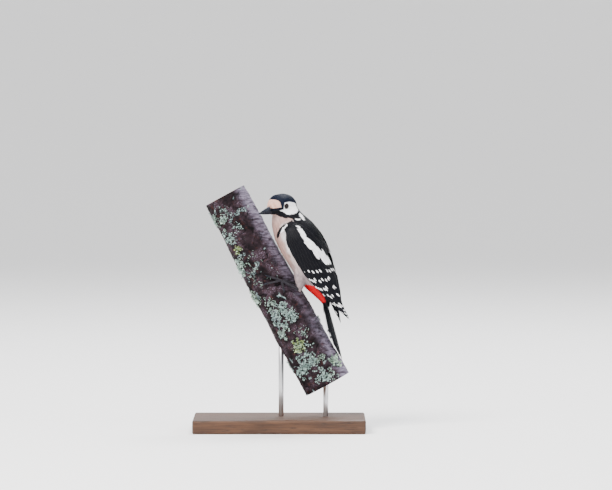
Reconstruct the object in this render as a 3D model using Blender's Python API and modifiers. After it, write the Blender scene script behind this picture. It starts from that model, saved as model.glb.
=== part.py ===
"""A great spotted woodpecker clinging to a cut length of leaning trunk, on a plain display stand.

Metres, +Z up; the origin is the middle of the stand's underside. The bird and its perch are modelled
in the bird's own level frame, +X towards the head, +Y to its left, +Z out of its back, and one empty
turns that frame up the trunk. Sizes below are in millimetres and turned to metres where they are used.
"""

import math

import bmesh
import bpy
import numpy as np
from mathutils import Matrix, Vector

MM = 0.001
GAP = 0.35  # clearance between neighbouring pieces
SLAB_SIDE = 180.0  # larger than any piece that is cut
SIDES = {"left": 1, "right": -1}

# --- pose -----------------------------------------------------------------------------------------
BIRD_AT = (24.0, -2.5, 187.0)  # where the bird frame's origin stands over the base
CLIMB = 66.0  # degrees that the bird's axis rises from level
BACK_TURN = 15.0  # degrees that the back turns towards the viewer
HEAD_AT = (78.3, 2.2, 12.6)  # middle of the head, in the bird frame
HEAD_YAW, HEAD_DIP = 42.0, 9.0  # degrees the bill swings towards the viewer, and below level

# --- body: along, top, bottom, half width ---------------------------------------------------------
BODY = (
    (74, 22.5, -0.5, 11.5),
    (68, 26.5, -5.0, 15.5),
    (60, 29.0, -8.6, 17.0),
    (52, 33.0, -10.6, 19.0),
    (42, 37.3, -12.0, 21.6),
    (28, 39.6, -11.5, 23.2),
    (12, 39.3, -9.2, 23.0),
    (-4, 36.3, -7.0, 21.2),
    (-20, 30.8, -2.8, 17.0),
    (-34, 24.5, 3.5, 12.5),
    (-46, 18.0, 8.5, 8.5),
    (-53, 14.5, 10.3, 5.5),
)
# --- head, in its own frame: forward of the middle, top, bottom, half width ------------------------
HEAD = (
    (-18.0, 1.0, -5.0, 4.0),
    (-15.5, 5.6, -9.5, 8.4),
    (-10.0, 9.8, -12.4, 11.8),
    (-2.0, 12.2, -13.4, 13.7),
    (6.0, 12.4, -12.6, 13.4),
    (12.0, 10.2, -11.2, 10.8),
    (16.0, 6.6, -9.9, 7.8),
    (19.0, 2.6, -8.0, 4.8),
)
HEAD_CUT, NECK_CUT = 66.0, 53.0  # where the thin cuts cross the bird's axis
FACE_CUT = 17.0  # where the bill starts, forward of the head's middle
FLESH_VOXEL, FLESH_KEPT = 1.6, 0.11  # remesh cell, and the share of faces kept after it
EYE_R, EYE_AT = 4.1, (3.9, 10.2, -1.3)  # forward, sideways and up from the head's middle

# --- bill -----------------------------------------------------------------------------------------
BILL_LENGTH = 19.0
BILL_HALF_WIDTH = (4.0, 0.8)  # base, tip
CULMEN, GAPE, GONYS = (1.3, -4.2), (-3.1, -4.7), (-8.6, -5.3)  # heights at base and tip

# --- wing: along, section centre, half depth, half width, inner and outer edge angle from the back ---
WING = (
    (53, 13.0, 19.0, 21.4, 60, 88),
    (45, 12.5, 25.0, 25.4, 45, 97),
    (34, 13.0, 28.2, 28.2, 36, 103),
    (20, 13.0, 29.2, 28.8, 26, 101),
    (2, 13.0, 28.4, 27.8, 19, 97),
    (-18, 14.0, 27.2, 24.8, 16, 92),
    (-38, 17.0, 22.6, 19.5, 15, 88),
    (-58, 22.0, 15.0, 13.5, 20, 84),
    (-77, 29.5, 4.8, 6.8, 35, 60),
)
WING_SPLIT = -12.0  # the coverts end here and the flight feathers stand clear
WING_THICK, FLIGHT_THICK = 1.8, 1.2
FAR_WING_DROOP, DROOP_FROM = 0.18, 0.0  # the right wing is held lower, over this slope

# --- tail -----------------------------------------------------------------------------------------
TAIL_ROOT, TAIL_LENGTH, TAIL_THICK = -53.6, 62.0, 1.2
TAIL_FEATHERS = 6
TAIL_HALF_WIDTH = (9.5, 15.5)  # root, widest
TAIL_STEP, TAIL_NOTCH = 26.0, 4.0  # outer feathers' shortfall, and depth between two tips
TAIL_Z = (11.6, 1.5)  # root and tip, over the bird's axis

# --- perch ----------------------------------------------------------------------------------------
PERCH_FOOT = (2.5, -37.6)  # a point of the trunk's axis, along and over the bird's axis
PERCH_TILT = 4.8  # degrees between the two axes
PERCH_R, PERCH_TAPER = 26.4, 0.012
PERCH_TOP, PERCH_BOTTOM = 112.0, -138.0
PERCH_SIDES, PERCH_RINGS = 28, 20

# --- legs: the left one, with angle round the trunk from the bird, height along it, and lift ---------
HIP, ANKLE = (-3.0, 12.0, 3.0), (-21.0, 21.0, -4.0)
THIGH_R = (8.4, 7.4, 3.0)
TOE_ROOT = (52.0, -6.0)
TARSUS_R, TOE_R, CLAW_R, CLAW_TIP_R = 1.45, 1.2, 0.95, 0.3
TOE_ARCH, CLAW_ARCH = 0.9, 1.9
TOES = {  # turn round the trunk and rise along it, from the root to the claw's root, and claw length
    "inner": (19.0, 10.0, 7.0),
    "front": (31.0, 4.5, 8.0),
    "outer": (-31.0, -11.5, 8.0),
    "hind": (5.0, -9.0, 6.0),
}

# --- stand ----------------------------------------------------------------------------------------
BASE_SIZE, BASE_BEVEL = (200.0, 128.0, 16.0), 2.0
ROD_R, ROD_SEAT = 3.0, 9.0
RODS = {"stand_rod_short": (54.0, 4.5, 62.0), "stand_rod_long": (2.0, 6.5, 108.0)}  # x, y, top


def clear_scene():
    for obj in list(bpy.data.objects):
        bpy.data.objects.remove(obj)


def collection(name):
    made = bpy.data.collections.new(name)
    bpy.context.scene.collection.children.link(made)
    return made


def material(name, colour, roughness, metallic=0.0):
    made = bpy.data.materials.new(name)
    made.use_nodes = True
    shader = made.node_tree.nodes["Principled BSDF"]
    shader.inputs["Base Color"].default_value = (*colour, 1.0)
    shader.inputs["Roughness"].default_value = roughness
    shader.inputs["Metallic"].default_value = metallic
    return made


def pose_matrix():
    """The bird's level frame turned to climb away from the viewer's right, its back a little round."""
    turn = Matrix.Rotation(math.radians(CLIMB), 4, "Y") @ Matrix.Rotation(math.pi, 4, "Z")
    turn = turn @ Matrix.Rotation(math.radians(-BACK_TURN), 4, "X")
    return Matrix.Translation(Vector(BIRD_AT) * MM) @ turn


def head_matrix():
    """Columns are the head's forward, left and up directions, seen in the bird's frame."""
    yaw, dip = math.radians(HEAD_YAW), math.radians(HEAD_DIP)
    level = math.cos(dip)
    forward = Vector((-math.cos(yaw) * level, -math.sin(yaw) * level, -math.sin(dip)))
    left = Vector((0, 0, 1)).cross(forward).normalized()
    world = Matrix((forward, left, forward.cross(left))).transposed()
    turned = pose_matrix().to_3x3().inverted() @ world
    return Matrix.Translation(Vector(HEAD_AT)) @ turned.to_4x4()


def smooth_curve(xs, ys, x):
    """Cubic through the stations, with no overshoot (harmonic-mean slopes)."""
    order = np.argsort(xs)
    xs, ys = np.asarray(xs, float)[order], np.asarray(ys, float)[order]
    step = np.diff(xs)
    slope = np.diff(ys) / step
    inner = np.zeros(len(xs) - 2)
    same = slope[1:] * slope[:-1] > 0
    inner[same] = 2 * slope[1:][same] * slope[:-1][same] / (slope[1:] + slope[:-1])[same]
    tangent = np.concatenate([slope[:1], inner, slope[-1:]])
    k = np.clip(np.searchsorted(xs, x) - 1, 0, len(xs) - 2)
    t = (x - xs[k]) / step[k]
    return (
        ys[k] * (1 + 2 * t) * (1 - t) ** 2
        + tangent[k] * step[k] * t * (1 - t) ** 2
        + ys[k + 1] * t * t * (3 - 2 * t)
        + tangent[k + 1] * step[k] * t * t * (t - 1)
    )


def stations(table, x):
    """Each column of a station table, read at x."""
    rows = np.asarray(table, float)
    return [smooth_curve(rows[:, 0], rows[:, k], x) for k in range(1, rows.shape[1])]


def mesh_object(name, points, faces, mat, home, parent):
    mesh = bpy.data.meshes.new(name)
    mesh.from_pydata([tuple(np.asarray(p) * MM) for p in points], [], faces)
    mesh.update()
    bm = bmesh.new()
    bm.from_mesh(mesh)
    bmesh.ops.recalc_face_normals(bm, faces=bm.faces)
    bm.to_mesh(mesh)
    bm.free()
    mesh.shade_smooth()
    mesh.materials.append(mat)
    obj = bpy.data.objects.new(name, mesh)
    home.objects.link(obj)
    obj.parent = parent
    return obj


def tube_faces(rings, sides, first=0):
    """Quads between rings of a closed loft, with a flat cap on each end."""
    faces = [
        (first + r * sides + s, first + r * sides + (s + 1) % sides,
         first + (r + 1) * sides + (s + 1) % sides, first + (r + 1) * sides + s)
        for r in range(rings - 1)
        for s in range(sides)
    ]
    last = first + (rings - 1) * sides
    return faces + [tuple(range(first, first + sides))[::-1], tuple(range(last, last + sides))]


def oval_loft(table, rings, sides):
    """Ring points of a loft along +X whose sections are ovals: top, bottom and half width at each station."""
    along = np.linspace(table[0][0], table[-1][0], rings)
    top, bottom, half = stations(table, along)
    turn = np.linspace(0, 2 * math.pi, sides, endpoint=False)
    middle, depth = (top + bottom) / 2, (top - bottom) / 2
    return np.stack(
        [
            np.repeat(along[:, None], sides, 1),
            half[:, None] * np.sin(turn),
            middle[:, None] + depth[:, None] * np.cos(turn),
        ],
        -1,
    ).reshape(-1, 3)


def moved(points, matrix):
    m = np.array(matrix)
    return points @ m[:3, :3].T + m[:3, 3]


def modifier(obj, kind, **settings):
    made = obj.modifiers.new(kind.title(), kind)
    for key, value in settings.items():
        setattr(made, key, value)
    return made


def as_helper(obj):
    obj.hide_render = True
    obj.display_type = "WIRE"
    return obj


def slab(name, low, high, home, parent, matrix=Matrix()):
    """A wide box between two stations of the +X axis, to cut with, in the frame of a matrix."""
    mesh = bpy.data.meshes.new(name)
    bm = bmesh.new()
    bmesh.ops.create_cube(bm, size=1.0)
    bm.to_mesh(mesh)
    bm.free()
    sizes = Matrix.Diagonal((high - low, SLAB_SIDE, SLAB_SIDE, 1))
    mesh.transform(Matrix.Scale(MM, 4) @ matrix @ Matrix.Translation(((low + high) / 2, 0, 0)) @ sizes)
    obj = bpy.data.objects.new(name, mesh)
    home.objects.link(obj)
    obj.parent = parent
    return as_helper(obj)


def flesh(name, mat, home, parent):
    """Body and head lofts fused into one smooth form by a voxel remesh."""
    rings, sides = 30, 32
    body = oval_loft(BODY, rings, sides)
    head = moved(oval_loft(HEAD, 18, sides), head_matrix())
    faces = tube_faces(rings, sides) + tube_faces(18, sides, len(body))
    obj = mesh_object(name, np.concatenate([body, head]), faces, mat, home, parent)
    modifier(obj, "REMESH", mode="VOXEL", voxel_size=FLESH_VOXEL * MM, use_smooth_shade=True)
    modifier(obj, "SMOOTH", factor=0.5, iterations=4)
    modifier(obj, "DECIMATE", ratio=FLESH_KEPT)
    return obj


def boolean(obj, operation, other):
    modifier(obj, "BOOLEAN", operation=operation, object=other, solver="EXACT")


def make_flesh(mats, bird, cutters, pose):
    """Head, neck and trunk: one form, parted by two thin cuts. The eyes sit in sockets of the head."""
    zones = {
        "trunk": (-SLAB_SIDE, NECK_CUT - GAP / 2),
        "neck": (NECK_CUT + GAP / 2, HEAD_CUT - GAP / 2),
        "head": (HEAD_CUT + GAP / 2, SLAB_SIDE),
    }
    for name, (low, high) in zones.items():
        piece = flesh(name, mats["plumage"], bird, pose)
        boolean(piece, "INTERSECT", slab(f"keep_{name}", low, high, cutters, pose))
    boolean(piece, "DIFFERENCE", slab("face", FACE_CUT, SLAB_SIDE, cutters, pose, head_matrix()))
    for side, sign in SIDES.items():
        at = head_matrix() @ Vector((EYE_AT[0], sign * EYE_AT[1], EYE_AT[2]))
        ball(f"eye_{side}", at, EYE_R, mats["eye"], bird, pose)
        socket = as_helper(ball(f"socket_{side}", at, EYE_R + GAP, mats["eye"], cutters, pose))
        boolean(piece, "DIFFERENCE", socket)


def ball(name, at, radius, mat, home, parent):
    mesh = bpy.data.meshes.new(name)
    bm = bmesh.new()
    bmesh.ops.create_uvsphere(bm, u_segments=14, v_segments=9, radius=radius * MM)
    bm.to_mesh(mesh)
    bm.free()
    mesh.shade_smooth()
    mesh.materials.append(mat)
    obj = bpy.data.objects.new(name, mesh)
    home.objects.link(obj)
    obj.parent = parent
    obj.location = Vector(at) * MM
    return obj


def bill_half(name, upper, mat, home, parent):
    """One mandible: a loft of five-cornered sections from the face to the chisel tip."""
    rings = 9
    t = np.linspace(0, 1, rings)[:, None]
    half = BILL_HALF_WIDTH[0] + (BILL_HALF_WIDTH[1] - BILL_HALF_WIDTH[0]) * t**0.85
    edge = CULMEN if upper else GONYS
    outer = edge[0] + (edge[1] - edge[0]) * t ** (1.25 if upper else 1.6)
    gape = GAPE[0] + (GAPE[1] - GAPE[0]) * t
    gape = gape + (GAP / 2 if upper else -GAP / 2)
    across = np.array([-1.0, -0.62, 0.0, 0.62, 1.0, 0.9, 0.0, -0.9])
    height = np.array([0.3, 0.78, 1.0, 0.78, 0.3, 0.0, 0.0, 0.0])
    taper = 1.0 if upper else 0.86
    points = np.stack(
        [
            np.repeat(FACE_CUT + GAP + BILL_LENGTH * t, len(across), 1),
            half * taper * across,
            gape + (outer - gape) * height,
        ],
        -1,
    ).reshape(-1, 3)
    faces = tube_faces(rings, len(across))
    return mesh_object(name, moved(points, head_matrix()), faces, mat, home, parent)


def sheet(name, grid, thick, mat, home, parent):
    """An open surface from a grid of points, given its thickness inwards from its outer face."""
    rows, columns = grid.shape[:2]
    faces = [
        (r * columns + c, r * columns + c + 1, (r + 1) * columns + c + 1, (r + 1) * columns + c)
        for r in range(rows - 1)
        for c in range(columns - 1)
    ]
    obj = mesh_object(name, grid.reshape(-1, 3), faces, mat, home, parent)
    modifier(obj, "SOLIDIFY", thickness=thick * MM, offset=-1.0, use_even_offset=False)
    return obj


def face_outwards(obj, outward):
    """Turns a sheet over if its faces look away from this direction."""
    total = sum((f.normal * f.area for f in obj.data.polygons), Vector())
    if total.dot(Vector(outward)) < 0:
        obj.data.flip_normals()


def wing_grid(side, start, end, rows):
    """Points of a folded wing: ovals round the body, each kept between its inner and outer edge."""
    columns = 9
    along = np.linspace(start, end, rows)
    middle, depth, half, inner, outer = stations(WING, along)
    if side < 0:
        middle = middle - FAR_WING_DROOP * np.clip(DROOP_FROM - along, 0, None)
    share = np.linspace(0, 1, columns)
    angle = np.radians(inner[:, None] + (outer - inner)[:, None] * share)
    return np.stack(
        [
            np.repeat(along[:, None], columns, 1),
            side * half[:, None] * np.sin(angle),
            middle[:, None] + depth[:, None] * np.cos(angle),
        ],
        -1,
    )


def make_wings(mats, bird, pose):
    for side, sign in SIDES.items():
        covert = wing_grid(sign, WING[0][0], WING_SPLIT + GAP / 2, 9)
        flight = wing_grid(sign, WING_SPLIT - GAP / 2, WING[-1][0], 9)
        arm = sheet(f"wing_{side}", covert, WING_THICK, mats["plumage"], bird, pose)
        quills = sheet(f"flight_{side}", flight, FLIGHT_THICK, mats["plumage"], bird, pose)
        for piece in (arm, quills):
            face_outwards(piece, (0, sign, 0.6))


def make_tail(mats, bird, pose):
    """A stiff wedge of pointed feathers, arched over the trunk, its tips just touching the bark."""
    columns, rows = 2 * TAIL_FEATHERS + 1, 7
    across = np.linspace(-1, 1, columns)
    t = np.linspace(0, 1, rows)[:, None]
    reach = (TAIL_LENGTH - TAIL_STEP * np.abs(across) ** 1.4) * t
    reach[-1, 2:-1:2] -= TAIL_NOTCH
    wide = TAIL_HALF_WIDTH[0] + (TAIL_HALF_WIDTH[1] - TAIL_HALF_WIDTH[0]) * np.sin(t * 1.7)
    side = wide * across * (1 - 0.3 * t**3)
    high = TAIL_Z[0] + (TAIL_Z[1] - TAIL_Z[0]) * reach / TAIL_LENGTH - side**2 / (2.2 * PERCH_R)
    grid = np.stack([TAIL_ROOT - reach, side, high + TAIL_THICK / 2], -1)
    tail = sheet("tail", grid, TAIL_THICK, mats["plumage"], bird, pose)
    face_outwards(tail, (0, 0, 1))


def perch_radius(angle, height):
    """The trunk's radius: a taper with shallow swellings."""
    swell = 0.5 * np.sin(3 * angle + 0.03 * height) + 0.35 * np.sin(5 * angle - 0.05 * height + 1.0)
    return PERCH_R - PERCH_TAPER * height + swell


def perch_point(angle, height, lift=0.0):
    """A point over the bark: angle from the bird round to its left, height up the trunk, lift off it."""
    tilt = math.radians(PERCH_TILT)
    out = perch_radius(angle, height) + lift
    near = out * np.cos(angle)
    return np.stack(
        [
            PERCH_FOOT[0] + height * math.cos(tilt) + near * math.sin(tilt),
            out * np.sin(angle),
            PERCH_FOOT[1] - height * math.sin(tilt) + near * math.cos(tilt),
        ],
        -1,
    )


def make_perch(mats, bird, pose, rods):
    angle = np.linspace(0, 2 * math.pi, PERCH_SIDES, endpoint=False)
    height = np.linspace(PERCH_BOTTOM, PERCH_TOP, PERCH_RINGS)[:, None]
    points = perch_point(angle + 0 * height, height + 0 * angle).reshape(-1, 3)
    perch = mesh_object("perch", points, tube_faces(PERCH_RINGS, PERCH_SIDES), mats["bark"], bird, pose)
    for socket in rods:
        boolean(perch, "DIFFERENCE", socket)


def limb(name, points, radii, mat, home, parent):
    """A tapering round limb: a smoothed curve with a bevel, made a closed mesh so that it can be joined."""
    curve = bpy.data.curves.new(name, "CURVE")
    curve.dimensions, curve.bevel_depth, curve.bevel_resolution = "3D", MM, 1
    curve.use_fill_caps = True
    spline = curve.splines.new("POLY")
    spline.points.add(len(points) - 1)
    for knot, at, radius in zip(spline.points, points, radii):
        knot.co = (*(np.asarray(at) * MM), 1.0)
        knot.radius = radius
    guide = bpy.data.objects.new(name, curve)
    home.objects.link(guide)
    mesh = bpy.data.meshes.new_from_object(guide.evaluated_get(bpy.context.evaluated_depsgraph_get()))
    bpy.data.objects.remove(guide)
    bm = bmesh.new()
    bm.from_mesh(mesh)
    bmesh.ops.remove_doubles(bm, verts=bm.verts, dist=0.01 * MM)
    bmesh.ops.recalc_face_normals(bm, faces=bm.faces)
    bm.to_mesh(mesh)
    bm.free()
    mesh.shade_smooth()
    mesh.materials.clear()
    mesh.materials.append(mat)
    obj = bpy.data.objects.new(name, mesh)
    home.objects.link(obj)
    obj.parent = parent
    return obj


def on_bark(turn, rise, lift, sign):
    return perch_point(np.radians(sign * (TOE_ROOT[0] + turn)), TOE_ROOT[1] + rise, lift)


def make_foot(side, sign, mats, bird, cutters, pose):
    """Tarsus and four toes joined into one solid, and a claw in front of each toe."""
    lift = TOE_R + GAP + 0.25
    steps = np.linspace(0, 1, 5)
    root = on_bark(0, 0, lift + TOE_ARCH, sign)
    ankle = np.array([ANKLE[0], sign * ANKLE[1], ANKLE[2]])
    foot = limb(f"foot_{side}", [ankle + (root - ankle) * s for s in (0.2, 0.5, 0.86, 1.0)],
                [TARSUS_R + 0.35, TARSUS_R, TARSUS_R, TARSUS_R + 0.5], mats["leg"], bird, pose)
    for toe, (turn, rise, claw) in TOES.items():
        bend = lift + TOE_ARCH * (1 - steps + np.sin(math.pi * steps))
        track = [on_bark(turn * s, rise * s, b, sign) for s, b in zip(steps, bend)]
        thick = TOE_R * (1.12 - 0.2 * steps)
        boolean(foot, "UNION", as_helper(limb(f"toe_{toe}_{side}", track, thick, mats["leg"], cutters, pose)))
        reach = math.hypot(math.radians(turn) * PERCH_R, rise)
        ahead = 1 + (GAP + 0.5 + steps * claw * 0.8) / reach
        high = lift * (1 - steps) + CLAW_ARCH * np.sin(math.pi * steps) + (CLAW_TIP_R + GAP) * steps
        path = [on_bark(turn * a, rise * a, h, sign) for a, h in zip(ahead, high)]
        taper = CLAW_R + (CLAW_TIP_R - CLAW_R) * steps
        limb(f"claw_{toe}_{side}", path, taper, mats["claw"], bird, pose)


def make_thigh(side, sign, mats, bird, pose, belly):
    """The feathered upper leg, cut clear of the belly it comes from and of the foot below it."""
    hip, ankle = (np.array([p[0], sign * p[1], p[2]]) for p in (HIP, ANKLE))
    steps = np.linspace(0, 1, 9)
    top, middle, end = THIGH_R
    radii = top * (1 - steps) ** 2 + 2 * middle * steps * (1 - steps) + end * steps**2
    track = [hip + (ankle - hip) * s for s in steps]
    thigh = limb(f"thigh_{side}", track, radii, mats["plumage"], bird, pose)
    modifier(thigh, "SUBSURF", levels=1, render_levels=1)
    boolean(thigh, "DIFFERENCE", belly)


def make_stand(mats, home, cutters):
    """A flat bevelled base and two upright rods, seated in drilled holes."""
    bpy.ops.mesh.primitive_cube_add(size=1.0)
    base = bpy.context.object
    base.name = base.data.name = "stand_base"
    base.data.transform(Matrix.Diagonal(Vector(BASE_SIZE) * MM).to_4x4())
    base.location = (0, 0, BASE_SIZE[2] / 2 * MM)
    base.data.materials.append(mats["wood"])
    for old in list(base.users_collection):
        old.objects.unlink(base)
    home.objects.link(base)
    modifier(base, "BEVEL", width=BASE_BEVEL * MM, segments=2)
    sockets = []
    for name, (x, y, top) in RODS.items():
        low = BASE_SIZE[2] - ROD_SEAT
        rod = cylinder(name, x, y, low, top, ROD_R, mats["steel"], home)
        hole = cylinder(f"hole_{name}", x, y, low - GAP, top + GAP, ROD_R + GAP, mats["steel"], cutters)
        boolean(base, "DIFFERENCE", as_helper(hole))
        sockets.append(hole)
        rod.data.shade_smooth()
        rod.data.set_sharp_from_angle(angle=math.radians(40))
    return sockets


def cylinder(name, x, y, low, high, radius, mat, home):
    mesh = bpy.data.meshes.new(name)
    bm = bmesh.new()
    size = {"radius1": radius * MM, "radius2": radius * MM, "depth": (high - low) * MM}
    bmesh.ops.create_cone(bm, cap_ends=True, segments=20, **size)
    bm.to_mesh(mesh)
    bm.free()
    mesh.materials.append(mat)
    obj = bpy.data.objects.new(name, mesh)
    home.objects.link(obj)
    obj.location = Vector((x, y, (low + high) / 2)) * MM
    return obj


def main():
    clear_scene()
    mats = {
        "plumage": material("plumage", (0.03, 0.03, 0.035), 0.6),
        "eye": material("eye", (0.05, 0.01, 0.01), 0.1),
        "bill": material("bill", (0.13, 0.14, 0.17), 0.35),
        "leg": material("leg", (0.16, 0.16, 0.17), 0.6),
        "claw": material("claw", (0.06, 0.06, 0.065), 0.35),
        "bark": material("bark", (0.10, 0.075, 0.08), 0.85),
        "wood": material("wood", (0.20, 0.11, 0.06), 0.4),
        "steel": material("steel", (0.6, 0.6, 0.6), 0.3, 1.0),
    }
    bird, cutters = collection("woodpecker"), collection("cutters")
    pose = bpy.data.objects.new("bird_pose", None)
    bird.objects.link(pose)
    pose.matrix_world = pose_matrix()
    sockets = make_stand(mats, bird, cutters)
    make_perch(mats, bird, pose, sockets)
    make_flesh(mats, bird, cutters, pose)
    bill_half("bill_upper", True, mats["bill"], bird, pose)
    bill_half("bill_lower", False, mats["bill"], bird, pose)
    make_wings(mats, bird, pose)
    make_tail(mats, bird, pose)
    belly = as_helper(flesh("belly_clearance", mats["plumage"], cutters, pose))
    modifier(belly, "DISPLACE", strength=0.5 * MM, mid_level=0.0)
    for side, sign in SIDES.items():
        make_foot(side, sign, mats, bird, cutters, pose)
        make_thigh(side, sign, mats, bird, pose, belly)


main()
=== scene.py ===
# %% [markdown]
# # A great spotted woodpecker on a cut length of trunk
# This lesson dresses a finished set of solids: a life-size woodpecker that clings to a leaning trunk on a
# plain stand. The solids give every place and size. They stay where they are, and each cell below either
# gives one of them a finish or puts a finer piece of the same shape in its place. Almost every new piece is
# a surface worked out with numpy: points on a grid of two parameters, turned into a mesh in one go.

# %% Load the solids
import math

import bpy
import numpy as np
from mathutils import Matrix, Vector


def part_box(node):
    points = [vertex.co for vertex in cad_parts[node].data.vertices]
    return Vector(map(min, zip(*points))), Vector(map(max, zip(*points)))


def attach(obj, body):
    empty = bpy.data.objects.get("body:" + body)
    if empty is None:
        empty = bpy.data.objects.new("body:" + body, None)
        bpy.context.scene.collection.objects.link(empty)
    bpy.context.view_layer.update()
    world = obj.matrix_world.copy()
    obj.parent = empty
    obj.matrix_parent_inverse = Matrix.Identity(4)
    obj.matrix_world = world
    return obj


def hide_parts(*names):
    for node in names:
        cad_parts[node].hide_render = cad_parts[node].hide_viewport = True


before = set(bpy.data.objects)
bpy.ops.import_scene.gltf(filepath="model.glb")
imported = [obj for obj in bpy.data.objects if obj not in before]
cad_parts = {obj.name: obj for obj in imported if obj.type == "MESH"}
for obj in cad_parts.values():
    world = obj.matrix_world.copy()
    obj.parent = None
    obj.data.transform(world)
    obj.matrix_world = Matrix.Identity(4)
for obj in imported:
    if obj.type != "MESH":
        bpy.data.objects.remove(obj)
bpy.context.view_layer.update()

# %% [markdown]
# ## The bird's own frame
# The bird is modelled level, head towards +X, left side towards +Y and back up, in millimetres. One turn
# stands it up against the trunk. The head has a frame of its own, because it looks to one side. Working in
# these frames keeps every size readable, and the same numbers gave the solids their shape.

# %% Turns between the bird, its head and the room
MM = 0.001
SIDES = {"left": 1, "right": -1}
DICE = np.random.default_rng(7)


def turned(axis, degrees):
    """A 3x3 turn about x, y or z: cosines on the other two axes, and sines where they cross."""
    c, s = math.cos(math.radians(degrees)), math.sin(math.radians(degrees))
    a, b = {"x": (1, 2), "y": (2, 0), "z": (0, 1)}[axis]
    turn = np.eye(3)
    turn[a, a] = turn[b, b] = c
    turn[a, b], turn[b, a] = -s, s
    return turn


CLIMB, BACK_TURN = 66.0, 15.0  # degrees that the bird's axis rises, and that its back turns to the viewer
BIRD_AT = np.array((24.0, -2.5, 187.0))  # where the bird frame's origin stands over the base
BIRD_TURN = turned("y", CLIMB) @ turned("z", 180) @ turned("x", -BACK_TURN)
HEAD_AT = np.array((78.3, 2.2, 12.6))  # the head's middle, in the bird frame
HEAD_YAW, HEAD_DIP = math.radians(42.0), math.radians(9.0)  # towards the viewer, and below level
level = math.cos(HEAD_DIP)
looks = -np.array((math.cos(HEAD_YAW) * level, math.sin(HEAD_YAW) * level, math.sin(HEAD_DIP)))
head_left = np.cross((0, 0, 1), looks)
head_left /= np.linalg.norm(head_left)
HEAD_TURN = BIRD_TURN.T @ np.stack([looks, head_left, np.cross(looks, head_left)], 1)


def room(points):
    """Bird frame in millimetres to the room in metres."""
    return (points @ BIRD_TURN.T + BIRD_AT) * MM


def from_head(points):
    """Head frame (forward, left, up) to the bird frame."""
    return points @ HEAD_TURN.T + HEAD_AT


def to_head(points):
    """Bird frame to the head frame."""
    return (points - HEAD_AT) @ HEAD_TURN


print("head looks along", np.round(HEAD_TURN[:, 0], 2), "in the bird frame")

# %% [markdown]
# ## Curves and noise
# Two small functions give all the shapes. `stations` reads a table of sections and eases between them.
# `bumps` is noise with a known formula, so a displaced mesh comes out the same each time.

# %% Curves and noise
LATTICE_PRIMES, SEED_STEP, SCRAMBLE = (73856093, 19349663, 83492791), 7919, 1274126177


def ease(x):
    """0 below 0, 1 above 1 and 3t^2 - 2t^3 between them."""
    t = np.clip(x, 0.0, 1.0)
    return t * t * (3 - 2 * t)


def smooth_curve(xs, ys, x):
    """A cubic through the knots that never overshoots: slopes are harmonic means of the neighbours'."""
    xs, ys = np.asarray(xs, float), np.asarray(ys, float)
    step = np.diff(xs)
    slope = np.diff(ys) / step
    inner = np.zeros(len(xs) - 2)
    same = slope[1:] * slope[:-1] > 0
    inner[same] = 2 * slope[1:][same] * slope[:-1][same] / (slope[1:] + slope[:-1])[same]
    tangent = np.concatenate([slope[:1], inner, slope[-1:]])
    x = np.clip(x, xs[0], xs[-1])
    k = np.clip(np.searchsorted(xs, x) - 1, 0, len(xs) - 2)
    t = (x - xs[k]) / step[k]
    rise = ys[k] * (1 + 2 * t) * (1 - t) ** 2 + ys[k + 1] * t * t * (3 - 2 * t)
    return rise + tangent[k] * step[k] * t * (1 - t) ** 2 + tangent[k + 1] * step[k] * t * t * (t - 1)


def stations(table, samples=400):
    """A reader of a table whose first column is the place: it returns every other column at any place."""
    rows = np.asarray(sorted(table), float)
    x = np.linspace(rows[0, 0], rows[-1, 0], samples)
    columns = [smooth_curve(rows[:, 0], column, x) for column in rows.T[1:]]
    return lambda at: [np.interp(at, x, column) for column in columns]


def bumps(points, seed=0):
    """Noise from -1 to 1: a scrambled value at each corner of a unit lattice, eased between the corners."""
    cell = np.floor(points).astype(np.int64)
    t = ease(points - cell)
    total = np.zeros(points.shape[:-1])
    for corner in np.ndindex(2, 2, 2):
        mixed = ((cell + corner) * LATTICE_PRIMES).sum(-1) + seed * SEED_STEP
        mixed = ((mixed ^ (mixed >> 13)) * SCRAMBLE) & 0x7FFFFFFF
        value = ((mixed ^ (mixed >> 15)) & 0xFFFF) / 32767.5 - 1
        total += value * np.prod(np.where(corner, t, 1 - t), axis=-1)
    return total


def unit(vectors):
    """Vectors divided by their own lengths."""
    return vectors / np.maximum(np.linalg.norm(vectors, axis=-1, keepdims=True), 1e-9)


def circle(count):
    """Angles that go once round in even steps."""
    return np.linspace(0, math.tau, count, endpoint=False)


low, high = (bumps(DICE.random((999, 3)) * 50) for _ in range(2))
print("noise runs from", round(low.min(), 2), "to", round(high.max(), 2))

# %% [markdown]
# ## Meshes from arrays
# Points could be moved by hand in edit mode. Here every shape is worked out as arrays and handed to the
# mesh in one go, which is quick and gives the same mesh each time. Grids give even quads, and a pole closes
# each end. `piece` turns a closed shape right side out by the sign of its volume.

# %% Meshes from arrays


def grid_faces(rows, columns, ring=False):
    """Quads of a grid of points stored row by row; a ring joins its last column to its first."""
    r, c = np.meshgrid(np.arange(rows - 1), np.arange(columns - (not ring)), indexing="ij")
    n = (c + 1) % columns
    corners = [r * columns + c, r * columns + n, (r + 1) * columns + n, (r + 1) * columns + c]
    return np.stack(corners, -1).reshape(-1, 4)


def repeated(faces, count, points_each):
    """The same faces for each of many copies whose points follow one another."""
    start = np.arange(count)[:, None, None] * points_each
    return (faces[None] + start).reshape(-1, faces.shape[1])


def volume(points, groups):
    """Six times the signed volume: corner . (corner x corner), summed over fans of triangles."""
    centred = points - points.mean(0)
    total = 0.0
    for faces in groups:
        for k in range(1, faces.shape[1] - 1):
            a, b, c = centred[faces[:, 0]], centred[faces[:, k]], centred[faces[:, k + 1]]
            total += np.einsum("ij,ij->", a, np.cross(b, c))
    return total


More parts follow.
